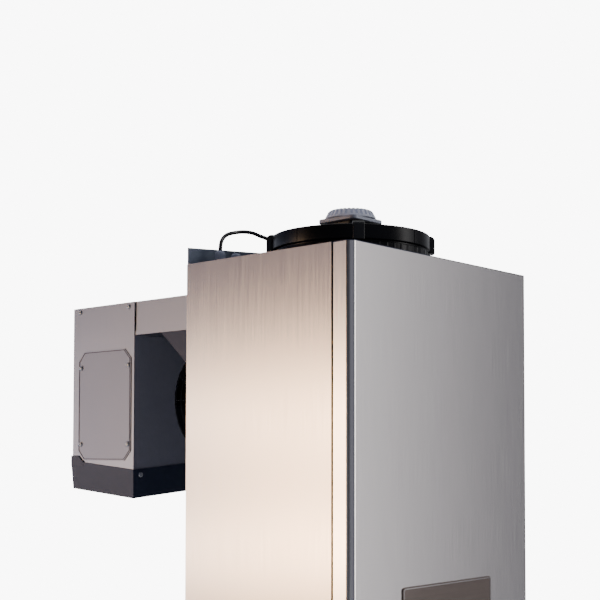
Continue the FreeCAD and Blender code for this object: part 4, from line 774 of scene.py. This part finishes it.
# each lamp's place, aim, size, power and colour
lamps = {
    "overhead": ((0.3, 0.6, 2.6), (0, 0, 0.3), (1.2, 0.8), 14, "#e6eaf2"),
    "leftFill": ((-2.2, -1.4, 0.1), (-0.2, 0.15, 0.2), (1.6, 1.6), 11, "#e4e6f4"),
}


def makeStage():
    low = solidBox[0][2] - stage["floorDrop"]
    half = stage["floorSize"]
    mesh = bpy.data.meshes.new("floor")
    mesh.from_pydata([(-half, -half, low), (half, -half, low), (half, half, low), (-half, half, low)], [],
                     [(0, 1, 2, 3)])
    floor = bpy.data.objects.new("floor", mesh)
    bpy.context.scene.collection.objects.link(floor)
    material, tree = newMaterial("paleFloor")
    shader = addNode(tree, "ShaderNodeBsdfPrincipled",
                     {"Base Color": linear(stage["colour"]), "Roughness": stage["roughness"]})
    out = addNode(tree, "ShaderNodeOutputMaterial")
    tree.links.new(shader.outputs[0], out.inputs[0])
    mesh.materials.append(material)


def addLamp(name, place, aim, size, power, colour):
    data = bpy.data.lights.new(name, "AREA")
    data.shape = "RECTANGLE"
    data.size, data.size_y = size
    data.energy = power
    data.color = linear(colour)[:3]
    lamp = bpy.data.objects.new(name, data)
    bpy.context.scene.collection.objects.link(lamp)
    away = Vector(place) - Vector(aim)
    lamp.matrix_world = Matrix.Translation(place) @ away.to_track_quat("Z", "Y").to_matrix().to_4x4()
    lamp.visible_glossy = False  # the metals mirror the room only


def addRamp(tree, source, low, high, stops):
    # stops are (place, colour) with places between low and high
    spread = addNode(tree, "ShaderNodeMapRange", {"From Min": low, "From Max": high}, {"Value": source})
    ramp = addNode(tree, "ShaderNodeValToRGB", links={"Fac": spread.outputs[0]})
    while len(ramp.color_ramp.elements) < len(stops):
        ramp.color_ramp.elements.new(0.5)
    for element, (place, colour) in zip(ramp.color_ramp.elements, stops):
        element.position = (place - low) / (high - low)
        element.color = colour
    return ramp.outputs["Color"]


def brightened(colour, gain):
    return [part * gain for part in linear(colour)[:3]] + [1.0]


def makeLight():
    world = bpy.data.worlds.new("studio")
    world.use_nodes = True
    tree = world.node_tree
    tree.nodes.clear()
    aim = addNode(tree, "ShaderNodeTexCoord")
    axes = addNode(tree, "ShaderNodeSeparateXYZ", links={0: aim.outputs["Generated"]})
    bearing = addNode(tree, "ShaderNodeMath", {"operation": "ARCTAN2"},
                      {0: axes.outputs["Y"], 1: axes.outputs["X"]})
    around = [(math.radians(place), brightened(colour, gain)) for place, colour, gain in room["bearings"]]
    around.append((math.pi, around[0][1]))
    walls = addRamp(tree, bearing.outputs[0], -math.pi, math.pi, around)
    bands = [(place, brightened(colour, gain)) for place, colour, gain in room["levels"]]
    heights = addRamp(tree, axes.outputs["Z"], -1.0, 1.0, bands)
    # the height bands belong to the cream wall; elsewhere the wall keeps one level
    toWall = addNode(tree, "ShaderNodeVectorMath", {"operation": "DOT_PRODUCT", 1: room["creamWay"]},
                     {0: aim.outputs["Generated"]})
    edges = {"From Min": room["creamFrom"], "From Max": room["creamFull"]}
    share = addNode(tree, "ShaderNodeMapRange", edges, {"Value": toWall.outputs["Value"]})
    level = addNode(tree, "ShaderNodeMix", {"data_type": "RGBA", 6: (1.0, 1.0, 1.0, 1.0)},
                    {0: share.outputs[0], 7: heights})
    seen = addNode(tree, "ShaderNodeMix", {"data_type": "RGBA", "blend_type": "MULTIPLY", 0: 1.0},
                   {6: walls, 7: level.outputs[2]})
    mirrored = addNode(tree, "ShaderNodeBackground", {"Strength": 1.0}, {"Color": seen.outputs[2]})
    plain = addNode(tree, "ShaderNodeBackground", {"Color": linear("#ffffff"), "Strength": room["white"]})
    path = addNode(tree, "ShaderNodeLightPath")
    choice = addNode(tree, "ShaderNodeMixShader", links={0: path.outputs["Is Camera Ray"],
                                                         1: mirrored.outputs[0], 2: plain.outputs[0]})
    out = addNode(tree, "ShaderNodeOutputWorld")
    tree.links.new(choice.outputs[0], out.inputs[0])
    bpy.context.scene.world = world
    for name, lamp in lamps.items():
        addLamp(name, *lamp)


makeStage()
makeLight()
print("stage and light set")
